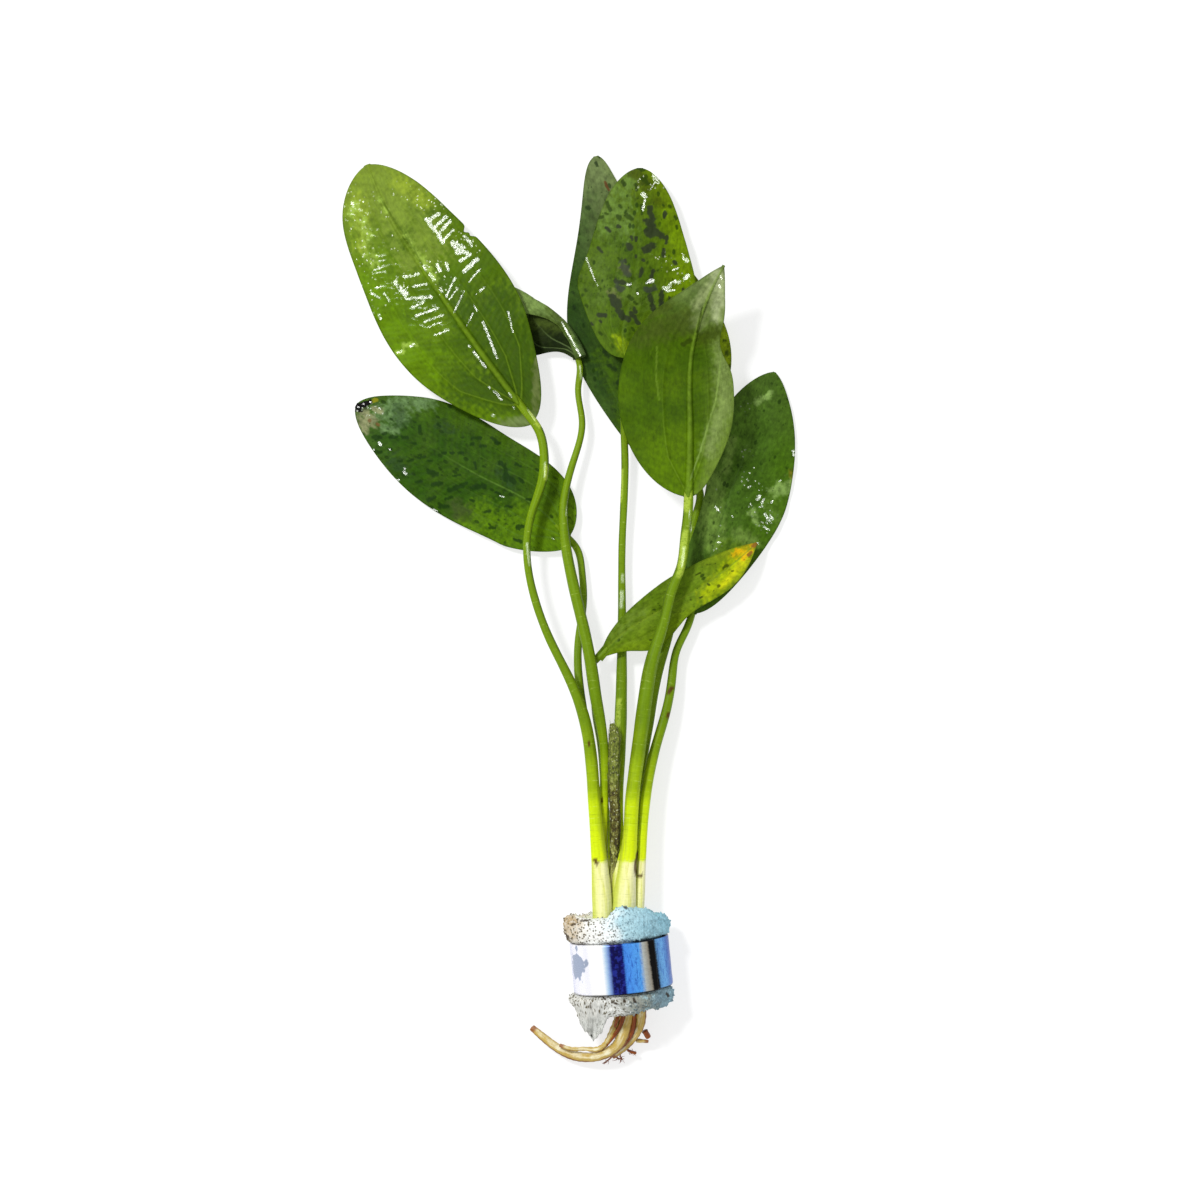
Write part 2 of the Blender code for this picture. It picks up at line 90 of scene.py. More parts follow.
def route(points, shares):
    # Rows on a smooth curve through the points, at shares of its length.
    points = np.asarray(points, float)
    walked = lengthsAlong(points)
    fine = smoothThrough(walked, points, np.linspace(0, walked[-1], 600))
    walked = lengthsAlong(fine)
    places = np.asarray(shares) * walked[-1]
    return np.column_stack([np.interp(places, walked, column) for column in fine.T])


def smoothStep(low, high, x):
    # 0 below low, 1 above high, and three times the square less twice the cube between.
    t = np.clip((x - low) / (high - low), 0, 1)
    return t * t * (3 - 2 * t)


# Noise for shapes, worked out for whole arrays of points

def waves(points, size, seed, layers=3):
    # Sum of sines along random directions, each layer half as large and twice as fine: about -1 to 1.
    draw = np.random.default_rng(seed)
    total = np.zeros(points.shape[:-1])
    for layer in range(layers):
        ways = unit(draw.normal(size=(7, 3)))
        phases = draw.uniform(0, 2 * math.pi, 7)
        stretch = 2 * math.pi * 2**layer / size * draw.uniform(0.7, 1.3, 7)
        angles = points @ (ways * stretch[:, None]).T + phases
        total += np.sin(angles).sum(axis=-1) / 7 * 1.6 / 2**layer
    return total


def scatter(cells, seed):
    # Three even random numbers for each cell of a lattice, from the sine of a dot product.
    mixed = cells @ np.array([[127.1, 269.5, 113.5], [311.7, 183.3, 271.9], [74.7, 246.1, 124.6]])
    return np.modf(np.abs(np.sin(mixed + seed) * 43758.5453))[0]


def cellPits(points, size, seed):
    # Distance to the nearest of the points scattered one to a cell, in cell sizes.
    scaled = points / size
    home = np.floor(scaled)
    nearest = np.full(points.shape[:-1], 9.0)
    for dx in (-1, 0, 1):
        for dy in (-1, 0, 1):
            for dz in (-1, 0, 1):
                cell = home + (dx, dy, dz)
                spot = cell + scatter(cell, seed)
                nearest = np.minimum(nearest, np.linalg.norm(spot - scaled, axis=-1))
    return nearest


# Meshes from grids of points

def gridQuads(rows, columns, start=0, ring=False):
    # Faces of a grid of points stored row by row. A ring's last column joins its first.
    index = np.arange(rows * columns).reshape(rows, columns) + start
    if ring:
        index = np.column_stack((index, index[:, 0]))
    return np.stack((index[:-1, :-1], index[:-1, 1:], index[1:, 1:], index[1:, :-1]), -1).reshape(-1, 4)


def volumeOf(points, faceSets):
    # Sum of the tetrahedra from the origin to the faces' triangles, positive where they face out.
    total = 0.0
    for faces in faceSets:
        first = points[faces[:, 0]]
        for i in range(1, faces.shape[1] - 1):
            total += np.einsum("ij,ij->", first, np.cross(points[faces[:, i]], points[faces[:, i + 1]]))
    return total / 6


def newPiece(name, points, faceSets, values=None, places=None):
    # A mesh piece with its faces turned out. values are numbers per point, places are vectors.
    points = np.asarray(points, float)
    if volumeOf(points, faceSets) < 0:
        faceSets = [faces[:, ::-1] for faces in faceSets]
    mesh = bpy.data.meshes.new(name)
    mesh.vertices.add(len(points))
    mesh.vertices.foreach_set("co", (points * mm).astype(np.float32).ravel())
    corners = np.concatenate([faces.ravel() for faces in faceSets]).astype(np.int32)
    sizes = np.concatenate([np.full(len(faces), faces.shape[1]) for faces in faceSets])
    mesh.loops.add(len(corners))
    mesh.loops.foreach_set("vertex_index", corners)
    mesh.polygons.add(len(sizes))
    mesh.polygons.foreach_set("loop_start", (np.cumsum(sizes) - sizes).astype(np.int32))
    mesh.update(calc_edges=True)
    mesh.validate()
    mesh.shade_smooth()
    for key, numbers in (values or {}).items():
        layer = mesh.attributes.new(key, "FLOAT", "POINT")
        layer.data.foreach_set("value", np.asarray(numbers, np.float32).ravel())
    for key, vectors in (places or {}).items():
        layer = mesh.attributes.new(key, "FLOAT_VECTOR", "POINT")
        layer.data.foreach_set("vector", np.asarray(vectors, np.float32).ravel())
    piece = bpy.data.objects.new(name, mesh)
    bpy.context.scene.collection.objects.link(piece)
    return piece


def dress(piece, material, slot, *nodes):
    # The piece takes its material, rides on the plant and stands for its solids.
    piece.data.materials.clear()
    piece.data.materials.append(material)
    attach(piece, "root")
    if nodes:
        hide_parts(*nodes)


def shellFaces(rows, columns):
    # Faces of a closed sheet: an upper grid, a lower grid behind it, and the strip round their rims.
    upper = np.arange(rows * columns).reshape(rows, columns)
    rim = np.concatenate((upper[0, :-1], upper[:-1, -1], upper[-1, :0:-1], upper[:0:-1, 0]))
    after = np.roll(rim, -1)
    low = rows * columns
    sides = np.stack((rim, rim + low, after + low, after), -1)
    return [gridQuads(rows, columns), gridQuads(rows, columns, low)[:, ::-1], sides]


def tube(rows, sides, section=None, domes=(3, 3)):
    # Rings round a path of rows (x, y, z, diameter), square to it and turned as little as possible,
    # with rounded ends. section(walked, angle) gives how far out each point stands, in radii.
    # Returns the points, the faces, and for each point the distance walked and its angle.
    rows = np.asarray(rows, float)
    path, radius = rows[:, :3], rows[:, 3] / 2
    ahead = unit(np.gradient(path, axis=0))
    level = unit(np.cross(ahead, (0.0, 0.0, 1.0)))
    up = np.cross(level, ahead)
    walked = lengthsAlong(rows)
    count, last = len(rows), len(rows) - 1
    startDome = np.linspace(0, 1, domes[0], endpoint=False)
    endDome = np.linspace(0, 1, domes[1], endpoint=False)[::-1]
    rings = np.concatenate((np.zeros(domes[0], int), np.arange(count), np.full(domes[1], last)))
    rounded = lambda dome: np.sqrt(1 - (1 - dome) ** 2)
    swell = np.clip(np.concatenate((rounded(startDome), np.ones(count), rounded(endDome))), 0.04, 1)
    push = np.concatenate((startDome - 1, np.zeros(count), 1 - endDome)) * 0.35
    angle = np.linspace(0, 2 * math.pi, sides, endpoint=False)
    reach = (radius[rings] * swell)[:, None] * np.ones(sides)
    if section:
        reach = reach * section(walked[rings][:, None], angle[None, :])
    centre = path[rings] + ahead[rings] * (push * radius[rings])[:, None]
    points = (centre[:, None] + reach[..., None] * (np.cos(angle)[:, None] * level[rings][:, None]
                                                    + np.sin(angle)[:, None] * up[rings][:, None]))
    faces = [gridQuads(len(rings), sides, ring=True),
             np.arange(sides)[None, ::-1], np.arange(sides)[None] + (len(rings) - 1) * sides]
    spread = np.broadcast_to(walked[rings][:, None], reach.shape)
    return points.reshape(-1, 3), faces, spread.ravel(), np.broadcast_to(angle, reach.shape).ravel()


def joined(parts):
    # Several (points, faces, ...) made one, with their numbers joined as well.
    points, faces, extras, start = [], [], [], 0
    for part in parts:
        points.append(part[0])
        faces += [face + start for face in part[1]]
        extras.append(part[2:])
        start += len(part[0])
    return [np.concatenate(points), faces] + [np.concatenate(column) for column in zip(*extras)]


def photoPlaces(points):
    # Where points of the plant are seen in the photo, in its pixels.
    size = view["pixel"] * (1 - points[..., 2] / view["height"])
    across = view["centrePixel"] + (points[..., 0] - view["middle"][0]) / size
    down = view["centrePixel"] - (points[..., 1] - view["middle"][1]) / size
    return across, down


def markMask(points, marks, soft=0.25, ragged=0.3, seed=1):
    # How strongly points lie in marks (x0, y0, x1, y1, width): strokes between two places of the
    # photo, in its pixels, with ragged edges that fade over a share of half their width.
    across, down = photoPlaces(points)
    edge = ragged * waves(points, 1.6, seed, 2)
    most = np.zeros(across.shape)
    for x0, y0, x1, y1, width in marks:
        long = max((x1 - x0) ** 2 + (y1 - y0) ** 2, 1e-6)
        along = np.clip(((across - x0) * (x1 - x0) + (down - y0) * (y1 - y0)) / long, 0, 1)
        distance = np.hypot(across - x0 - along * (x1 - x0), down - y0 - along * (y1 - y0)) / (width / 2)
        most = np.maximum(most, smoothStep(1 + soft, 1 - soft, distance - edge))
    return most


# Shader maths

class Value:
    # A socket with arithmetic. Each operator adds a Math node.
    def __init__(self, paint, socket):
        self.paint, self.socket = paint, socket

    def maths(self, operation, *others):
        return self.paint.node("ShaderNodeMath", {"operation": operation}, self, *others)

    def __add__(self, other):
        return self.maths("ADD", other)

    def __sub__(self, other):
        return self.maths("SUBTRACT", other)

    def __rsub__(self, other):
        return self.paint.node("ShaderNodeMath", {"operation": "SUBTRACT"}, other, self)

    def __mul__(self, other):
        return self.maths("MULTIPLY", other)

    def __truediv__(self, other):
        return self.maths("DIVIDE", other)

    __radd__ = __add__
    __rmul__ = __mul__

    def step(self, low, high):
        # 0 below low, 1 above high and smooth between, or the other way where low is above high.
        return self.paint.node("ShaderNodeMapRange", {"interpolation_type": "SMOOTHSTEP"}, self, low, high)


class Paint:
    # A material whose nodes are added one by one. fixed gives numbers for the shader's own sockets.
    def __init__(self, name, roughness=0.5, fixed=None):
        self.material = bpy.data.materials.new(name)
        self.material.use_nodes = True
        self.tree = self.material.node_tree
        self.shader = self.tree.nodes["Principled BSDF"]
        for key, value in {"Roughness": roughness, **(fixed or {})}.items():
            self.shader.inputs[key].default_value = value

    def put(self, socket, value):
        if isinstance(value, Value):
            self.tree.links.new(value.socket, socket)
        elif value is not None:
            socket.default_value = value

    def node(self, kind, settings=None, *values, out=0, **named):
        made = self.tree.nodes.new(kind)
        for key, setting in (settings or {}).items():
            setattr(made, key, setting)
        for socket, value in zip(made.inputs, values):
            self.put(socket, value)
        for key, value in named.items():
            self.put(made.inputs[key], value)
        return Value(self, made.outputs[out])

    def number(self, name):
        return self.node("ShaderNodeAttribute", {"attribute_name": name}, out=2)

    def place(self, name=None):
        # The piece's own vector attribute, or where the point is in metres.
        if name:
            return self.node("ShaderNodeAttribute", {"attribute_name": name}, out=1)
        return self.node("ShaderNodeTexCoord", out=3)

    def facing(self):
        return self.node("ShaderNodeNewGeometry", out=1)

    def upward(self):
        # 1 where the surface looks up, 0 where it looks sideways or down.
        return self.parts(self.facing())[2].step(0.05, 0.3)

    def leaning(self, share, x, y, z):
        # The surface's direction, leaned towards the one that mirrors the key light up.
        return self.mix(share, self.facing(), towardsLight(x, y, z), "VECTOR")

    def stretched(self, vector, x, y, z):
        return self.node("ShaderNodeVectorMath", {"operation": "MULTIPLY"}, vector, (x, y, z))

    def parts(self, vector):
        return [self.node("ShaderNodeSeparateXYZ", None, vector, out=i) for i in range(3)]

    def noise(self, vector, scale, detail=3.0, roughness=0.55):
        return self.node("ShaderNodeTexNoise", None, Vector=vector, Scale=scale, Detail=detail,
                         Roughness=roughness)

    def cells(self, vector, scale):
        # Distance to the nearest of points scattered one to a cell.
        return self.node("ShaderNodeTexVoronoi", None, Vector=vector, Scale=scale)

    def mix(self, share, first, second, kind="RGBA", way="MIX"):
        # From first to second as share goes from 0 to 1: colours, or vectors.
        made = self.tree.nodes.new("ShaderNodeMix")
        made.data_type, made.blend_type = kind, way
        start, out = {"RGBA": (6, 2), "VECTOR": (4, 1)}[kind]
        for number, value in ((0, share), (start, asTone(first)), (start + 1, asTone(second))):
            self.put(made.inputs[number], value)
        return Value(self, made.outputs[out])

    def shadeBy(self, colour, brightness):
        # The colour times a brightness about 1.
        grey = self.node("ShaderNodeCombineColor", None, brightness, brightness, brightness)
        return self.mix(1.0, colour, grey, way="MULTIPLY")

    def ramp(self, value, stops):
        made = self.tree.nodes.new("ShaderNodeValToRGB")
        points = made.color_ramp.elements
        while len(points) < len(stops):
            points.new(0.5)
        for point, (place, colour) in zip(points, stops):
            point.position, point.color = place, asTone(colour)
        self.put(made.inputs[0], value)
        return Value(self, made.outputs[0])

    def bump(self, height, strength=0.5, distance=0.0003, normal=None):
        return self.node("ShaderNodeBump", None, Height=height, Strength=strength, Distance=distance,
                         Normal=normal)

    def wet(self, share, colour, normal, roughness=0.16):
        # Where share is 1, a smooth film of water lies on top.
        film = self.tree.nodes.new("ShaderNodeBsdfPrincipled")
        film.inputs["Roughness"].default_value = roughness
        film.inputs["Specular IOR Level"].default_value = 0.4
        self.put(film.inputs["Base Color"], colour)
        self.put(film.inputs["Normal"], normal)
        both = self.tree.nodes.new("ShaderNodeMixShader")
        self.put(both.inputs[0], share)
        self.tree.links.new(self.shader.outputs[0], both.inputs[1])
        self.tree.links.new(film.outputs[0], both.inputs[2])
        self.tree.links.new(both.outputs[0], self.tree.nodes["Material Output"].inputs["Surface"])

    def finish(self, colour, roughness=None, normal=None):
        for key, value in (("Base Color", colour), ("Roughness", roughness), ("Normal", normal)):
            self.put(self.shader.inputs[key], value)
        return self.material


def tone(red, green, blue):
    # A colour as the photo shows it, 0 to 255, as the base colour that renders so, allowing for
    # the faint sheen on top of it and for how brightly the floor is lit.
    sheen, glow = 0.007, 1.14
    seen = np.array((red, green, blue)) / 255
    linear = np.where(seen < 0.04045, seen / 12.92, ((seen + 0.055) / 1.055) ** 2.4)
    return (*[max(float(part) - sheen, 0.0005) / glow for part in linear], 1.0)


def asTone(colour):
    # Three numbers are a colour as the photo shows it. Sockets and base colours stay as they are.
    return tone(*colour) if isinstance(colour, tuple) and len(colour) == 3 else colour


def shaded(colour, factor, more=0):
    return tuple(part * factor + more for part in colour)


# Stage, lights and camera

light = {
    "from": (-0.36, 0.36, 0.86),  # key light, up and to the left of the picture
    "size": 0.14,
    "power": 6.4,
    "sky": 0.67,  # strength of the light from all round
    "floorGlow": 0.68,  # keeps the shadows faint
    "floorHalf": 3000,
}


def makeStage():
    half = light["floorHalf"]
    corners = np.array([(-half, -half, 0), (half, -half, 0), (half, half, 0), (-half, half, 0)], float)
    glow = {"Emission Color": (1, 1, 1, 1), "Emission Strength": light["floorGlow"]}
    paint = Paint("pale floor", 0.9, glow)
    speckle = paint.noise(paint.place(), 40.0, 2.0)
    white = paint.mix(speckle, (0.35, 0.35, 0.35, 1), (0.37, 0.37, 0.37, 1))
    floor = newPiece("floor", corners, [np.array([[0, 1, 2, 3]])])
    floor.data.materials.append(paint.finish(white))

    world = bpy.data.worlds.new("studio")
    world.use_nodes = True
    sky = world.node_tree.nodes["Background"].inputs
    sky["Color"].default_value = (1, 1, 1, 1)
    sky["Strength"].default_value = light["sky"]
    bpy.context.scene.world = world
    bpy.context.scene.view_settings.view_transform = "Standard"

    aim = Vector((view["middle"][0] * mm, view["middle"][1] * mm, 0))
    lamp = bpy.data.lights.new("key", "AREA")
    lamp.shape = "DISK"
    lamp.size = light["size"]
    lamp.energy = light["power"]
    holder = bpy.data.objects.new("key", lamp)
    holder.location = aim + Vector(light["from"])
    holder.rotation_euler = Vector(light["from"]).to_track_quat("Z", "Y").to_euler()
    bpy.context.scene.collection.objects.link(holder)

    lens = bpy.data.cameras.new("camera")
    lens.lens = view["lens"]
    lens.sensor_width = 36.0
    eye = bpy.data.objects.new("camera", lens)
    eye.location = aim + Vector((0, 0, view["height"] * mm))
    bpy.context.scene.collection.objects.link(eye)
    bpy.context.scene.camera = eye


makeStage()
print("stage, light and camera set")


def towardsLight(x, y, z):
    # The direction half way between the key light and the camera, seen from a place on the plant.
    place = np.array((x, y, z), float)
    middle = np.array((*view["middle"], 0.0))
    lamp = middle + np.array(light["from"]) * 1000 - place
    eye = middle + np.array((0.0, 0.0, view["height"])) - place
    return [float(part) for part in unit(unit(lamp) + unit(eye))]


# Leaf blades

leafForm = {
    "rows": 270,
    "columns": 113,
    "places": (0.08, 0.25, 0.5, 0.75, 0.92),  # where along a blade its half widths are given
    "ribHalfWidth": 1.1,  # of the midrib at the base, and at the tip
    "tipHalfWidth": 0.3,
    "midrib": 1.35,  # how far it stands out at the base
    "lamina": 0.48,
    "margin": 0.16,
    "sideVein": 0.26,
    "veinRadius": 0.42,
    "groove": 0.22,  # how deep the smooth face sinks along the midrib
    "crossVein": 1.65,  # distance between cross veins, and how far they slant to the tip
    "slant": 0.55,
    "lobeShare": 0.22,  # the share of the blade that reaches back with its lobes
}

# rib: the midrib from base to tip. ends: powers that close the base and the tip, larger is more
# pointed. left and right, seen from base to tip: half widths, then angle at the midrib and further
# curl up to the margin at base, middle and tip, in degrees. fold: between which shares of the right
# half width that curl happens. lobes: how far each side of the base reaches back past the stalk.
# lead: how far before the blade its stalk's last free point is. ridge: 1 where the underside faces
# up. veins: side veins at shares of the half width. wave: height and length of the margin's
# ripples. quilt: height of the cross ridges. bites: (side, place along, depth, length) of dents in
# the margin.
leaves = {
    "upper_left": {
        "rib": [(-25.3, 140.3, 8.4), (-33.8, 151.7, 8.2), (-48.7, 173.0, 6.4),
                (-58.2, 188.0, 3.6), (-63.4, 200.1, 0.9)],
        "ends": (0.42, 0.6),
        "left": ((11.0, 16.6, 17.3, 13.2, 8.2), (-5, -5, 0), (0, 2, 0)),
        "right": ((9.5, 14.9, 16.0, 12.8, 7.8), (6, 4, 0), (-4, -4, 0)),
        "lobes": {"left": 6.4, "right": 6.0},
        "ridge": 1, "veins": (-0.72, -0.34, 0.36, 0.70), "wave": (0.35, 17.0), "quilt": 0.03,
        "bites": [("right", 0.60, 1.3, 0.012), ("right", 0.575, 0.9, 0.01)],
    },
    "lower_left": {
        "rib": [(-13.3, 106.9, 3.8), (-21.0, 114.7, 4.0), (-34.0, 121.8, 3.4),
                (-51.2, 132.0, 1.9), (-66.2, 140.2, 1.0)],
        "ends": (0.55, 0.6),
        "left": ((9.5, 13.0, 13.2, 10.8, 5.8), (-4, -5, 0), (0, 0, 0)),
        "right": ((7.4, 11.0, 12.4, 10.5, 5.3), (-4, -4, 0), (0, 0, 0)),
        "lobes": {"left": 2.4, "right": 0.0},
        "ridge": -1, "veins": (-0.70, -0.36, 0.38, 0.70), "wave": (0.25, 15.0),
    },
    "folded": {
        "rib": [(-10.8, 151.6, 4.8), (-12.4, 155.7, 4.5), (-15.4, 160.0, 4.2), (-22.6, 166.0, 3.6),
                (-30.6, 170.2, 2.8)],
        "ends": (0.6, 0.6),
        "left": ((2.6, 9.6, 11.5, 9.0, 4.5), (-9, -7, -3), (-4, -4, 0)),
        "right": ((0.4, 0.6, 2.6, 6.6, 4.5), (8, 8, 8), (140, 155, 160)),
        "fold": (0.0, 0.32), "lead": 1.2,
        "ridge": -1, "veins": (-0.66, -0.34, 0.6), "wave": (0.15, 9.0),
    },
    "top_front": {
        "rib": [(1.3, 151.8, 7.9), (0.3, 156.5, 8.2), (1.9, 165.0, 8.2), (4.0, 178.0, 7.4),
                (4.7, 198.9, 5.8)],
        "ends": (0.5, 0.55),
        "left": ((5.4, 12.2, 12.9, 10.0, 6.0), (-4, -5, -3), (-8, -10, -4)),
        "right": ((8.0, 15.5, 14.5, 9.8, 5.7), (-3, -3, -3), (-8, -10, -4)),
        "ridge": -1, "veins": (-0.70, -0.36, 0.36, 0.70), "wave": (0.3, 13.0),
    },
    "top_back": {
        "rib": [(18.0, 121.2, 3.3), (13.4, 130.0, 3.4), (7.6, 145.0, 3.1), (2.6, 163.0, 2.6),
                (-1.6, 182.0, 1.7), (-6.2, 202.4, 1.0)],
        "ends": (0.6, 0.5),
        "left": ((7.0, 12.6, 16.6, 10.0, 4.8), (0, 0, 0), (-3, -3, 0)),
        "right": ((9.0, 19.0, 20.5, 10.5, 3.5), (0, 0, 0), (-3, -3, 0)),
        "ridge": -1, "veins": (-0.70, -0.36, 0.36, 0.70), "wave": (0.2, 16.0),
    },
    "front": {
        "rib": [(16.6, 116.9, 12.0), (17.0, 136.0, 12.0), (17.4, 152.5, 12.4), (19.2, 160.0, 15.6),
                (22.2, 167.8, 20.0), (25.0, 173.2, 24.0)],
        "ends": (0.58, 0.9),
        "left": ((9.8, 16.0, 17.2, 10.0, 3.0), (-5, -4, 10), (4, 6, 8)),
        "right": ((5.6, 11.3, 13.0, 8.0, 2.8), (2, 4, 0), (30, 62, 20)),
        "bites": [("right", 0.67, 2.6, 0.10)],
        "fold": (0.45, 0.8),
        "ridge": 1, "veins": (-0.40, 0.36), "wave": (0.3, 15.0),
    },
    "right": {
        "rib": [(17.6, 88.2, 5.2), (22.2, 102.4, 4.7), (28.4, 121.4, 3.8), (32.3, 131.6, 3.1),
                (35.6, 141.5, 2.1), (38.4, 148.4, 1.3)],
        "ends": (0.6, 0.7),
        "left": ((4.5, 6.0, 6.5, 9.2, 5.0), (8, 8, 6), (0, 0, 0)),
        "right": ((5.7, 10.8, 14.6, 11.2, 5.8), (-8, -9, -3), (0, 0, 0)),
        "ridge": -1, "veins": (-0.5, 0.34, 0.66), "wave": (0.25, 14.0),
    },
    "low_right": {
        "rib": [(-5.6, 77.0, 7.8), (-0.8, 82.3, 8.3), (5.9, 86.8, 8.3), (12.6, 90.5, 8.1),
                (19.6, 94.6, 7.8), (27.0, 99.9, 7.0), (33.7, 105.7, 6.4)],
        "ends": (1.0, 0.9),
        "left": ((1.4, 3.8, 6.0, 5.0, 2.3), (8, 4, -6), (0, 10, 0)),
        "right": ((2.6, 7.4, 4.7, 4.5, 2.3), (-8, 2, 18), (0, 0, 10)),
        "ridge": -1, "veins": (-0.5, 0.5), "wave": (0.2, 10.0),
    },
}


def halfWidths(leaf, side, along):
    # Through the given widths, closed by the ends' powers, less the bites out of the margin.
    widths, (base, tip) = leaf[side][0], leaf["ends"]
    places = np.array(leafForm["places"])
    rounding = lambda place: place**base * (1 - place) ** tip
    ratios = np.array(widths) / rounding(places)
    knots = np.concatenate(([0.0], places, [1.0]))
    ratios = np.concatenate((ratios[:1], ratios, ratios[-1:]))
    full = rounding(np.clip(along, 0.002, 0.998)) * smoothThrough(knots, ratios[:, None], along)[:, 0]
    for biteSide, place, depth, length in leaf.get("bites", ()):
        if biteSide == side:
            full = full - depth * np.exp(-(((along - place) / length) ** 2))
    return full


def bladeGrid(leaf, along, across):
    # The blade's smooth face. Each half leaves the midrib at its rise angle and has turned by its
    # curl at the margin: a point reaches out by the mean cosine of the angles on its way, and
    # climbs by their mean sine. The margin ripples by a sine along the blade.
    centre = route(leaf["rib"], along)
    near = 0.004  # how far to each side the direction is read
    ahead, behind = (route(leaf["rib"], np.clip(along + step, 0, 1)) for step in (near, -near))
    forward = unit(ahead - behind)
    right = unit(np.cross(forward, (0.0, 0.0, 1.0)))
    up = np.cross(right, forward)
    ribHalf = leafForm["ribHalfWidth"] + (leafForm["tipHalfWidth"] - leafForm["ribHalfWidth"]) * along
    walked = lengthsAlong(centre)
    points = np.repeat(centre[:, None], len(across), axis=1)
    out = np.zeros(points.shape[:2])
    steps = (np.arange(20) + 0.5) / 20
    for side, sign in (("left", -1), ("right", 1)):
        here = across * sign >= 0
        share = np.abs(across[here])
        full = np.maximum(halfWidths(leaf, side, along), ribHalf + 0.1)
        start, turn = smoothThrough((0.0, 0.5, 1.0), np.radians(np.column_stack(leaf[side][1:])), along).T
        turned = steps * share[:, None]
        if side == "right" and "fold" in leaf:
            first, last = leaf["fold"]
            turned = np.clip((turned - first) / (last - first), 0, 1)
        angles = start[:, None, None] + turn[:, None, None] * turned
        distance = full[:, None] * share
        sideways = sign * distance * np.cos(angles).mean(axis=-1)
        climb = distance * np.sin(angles).mean(axis=-1)
        height, length = leaf["wave"]
        beat = 2 * math.pi * walked / length
        ripple = np.sin(beat + sign) + 0.6 * np.sin(beat * 2.3)
        climb += height * share**3 * (ripple * np.sin(math.pi * along))[:, None]
        points[:, here] = (centre[:, None] + sideways[..., None] * right[:, None]
                           + climb[..., None] * up[:, None])
        out[:, here] = sign * distance
        # Lobes reach back past the base on both sides of the stalk.
        fading = np.clip(1 - along / leafForm["lobeShare"], 0, 1) ** 2
        back = (leaf.get("lobes", {}).get(side, 0.0) * fading)[:, None] * smoothStep(0, 0.8, share)
        points[:, here] -= (forward + 0.3 * sign * right)[:, None] * back[..., None]
    return points, out, walked, ribHalf


def veinHeights(leaf, along, across, out, ribHalf):
    # Rounded midrib and side veins, which leave the midrib near the base. Returns how far the
    # midrib and the side veins stand out, how close each point is to a vein, 0 to 1, and the
    # blade's half width there.
    share = np.abs(out)
    rib = np.sqrt(np.clip(1 - (share / ribHalf[:, None]) ** 2, 0, 1)) * ((1 - along) ** 0.7)[:, None]
    rib = leafForm["midrib"] * rib + 0.12 * np.exp(-((share / 0.5) ** 2))
    full = np.maximum(np.abs(out[:, :1]), np.abs(out[:, -1:]))
    side = np.zeros(out.shape)
    for place in leaf["veins"]:
        opening = np.minimum(1, along / 0.16) ** 0.55
        line = place * opening * (1 - 0.12 * along)
        edge = np.abs(out[:, -1] if place > 0 else out[:, 0])
        distance = (across[None, :] - line[:, None]) * edge[:, None]
        vein = np.exp(-((distance / leafForm["veinRadius"]) ** 2))
        side = np.maximum(side, vein * ((1 - along) ** 0.5)[:, None])
    least, more = (0.35, 0.6) if leaf["ridge"] > 0 else (0.2, 0.16)  # narrower on the smooth face
    ribNear = np.exp(-((share / (least + more * ribHalf[:, None])) ** 2))
    near = np.maximum(ribNear, 0.8 * side)
    return rib, side * leafForm["sideVein"], near, full


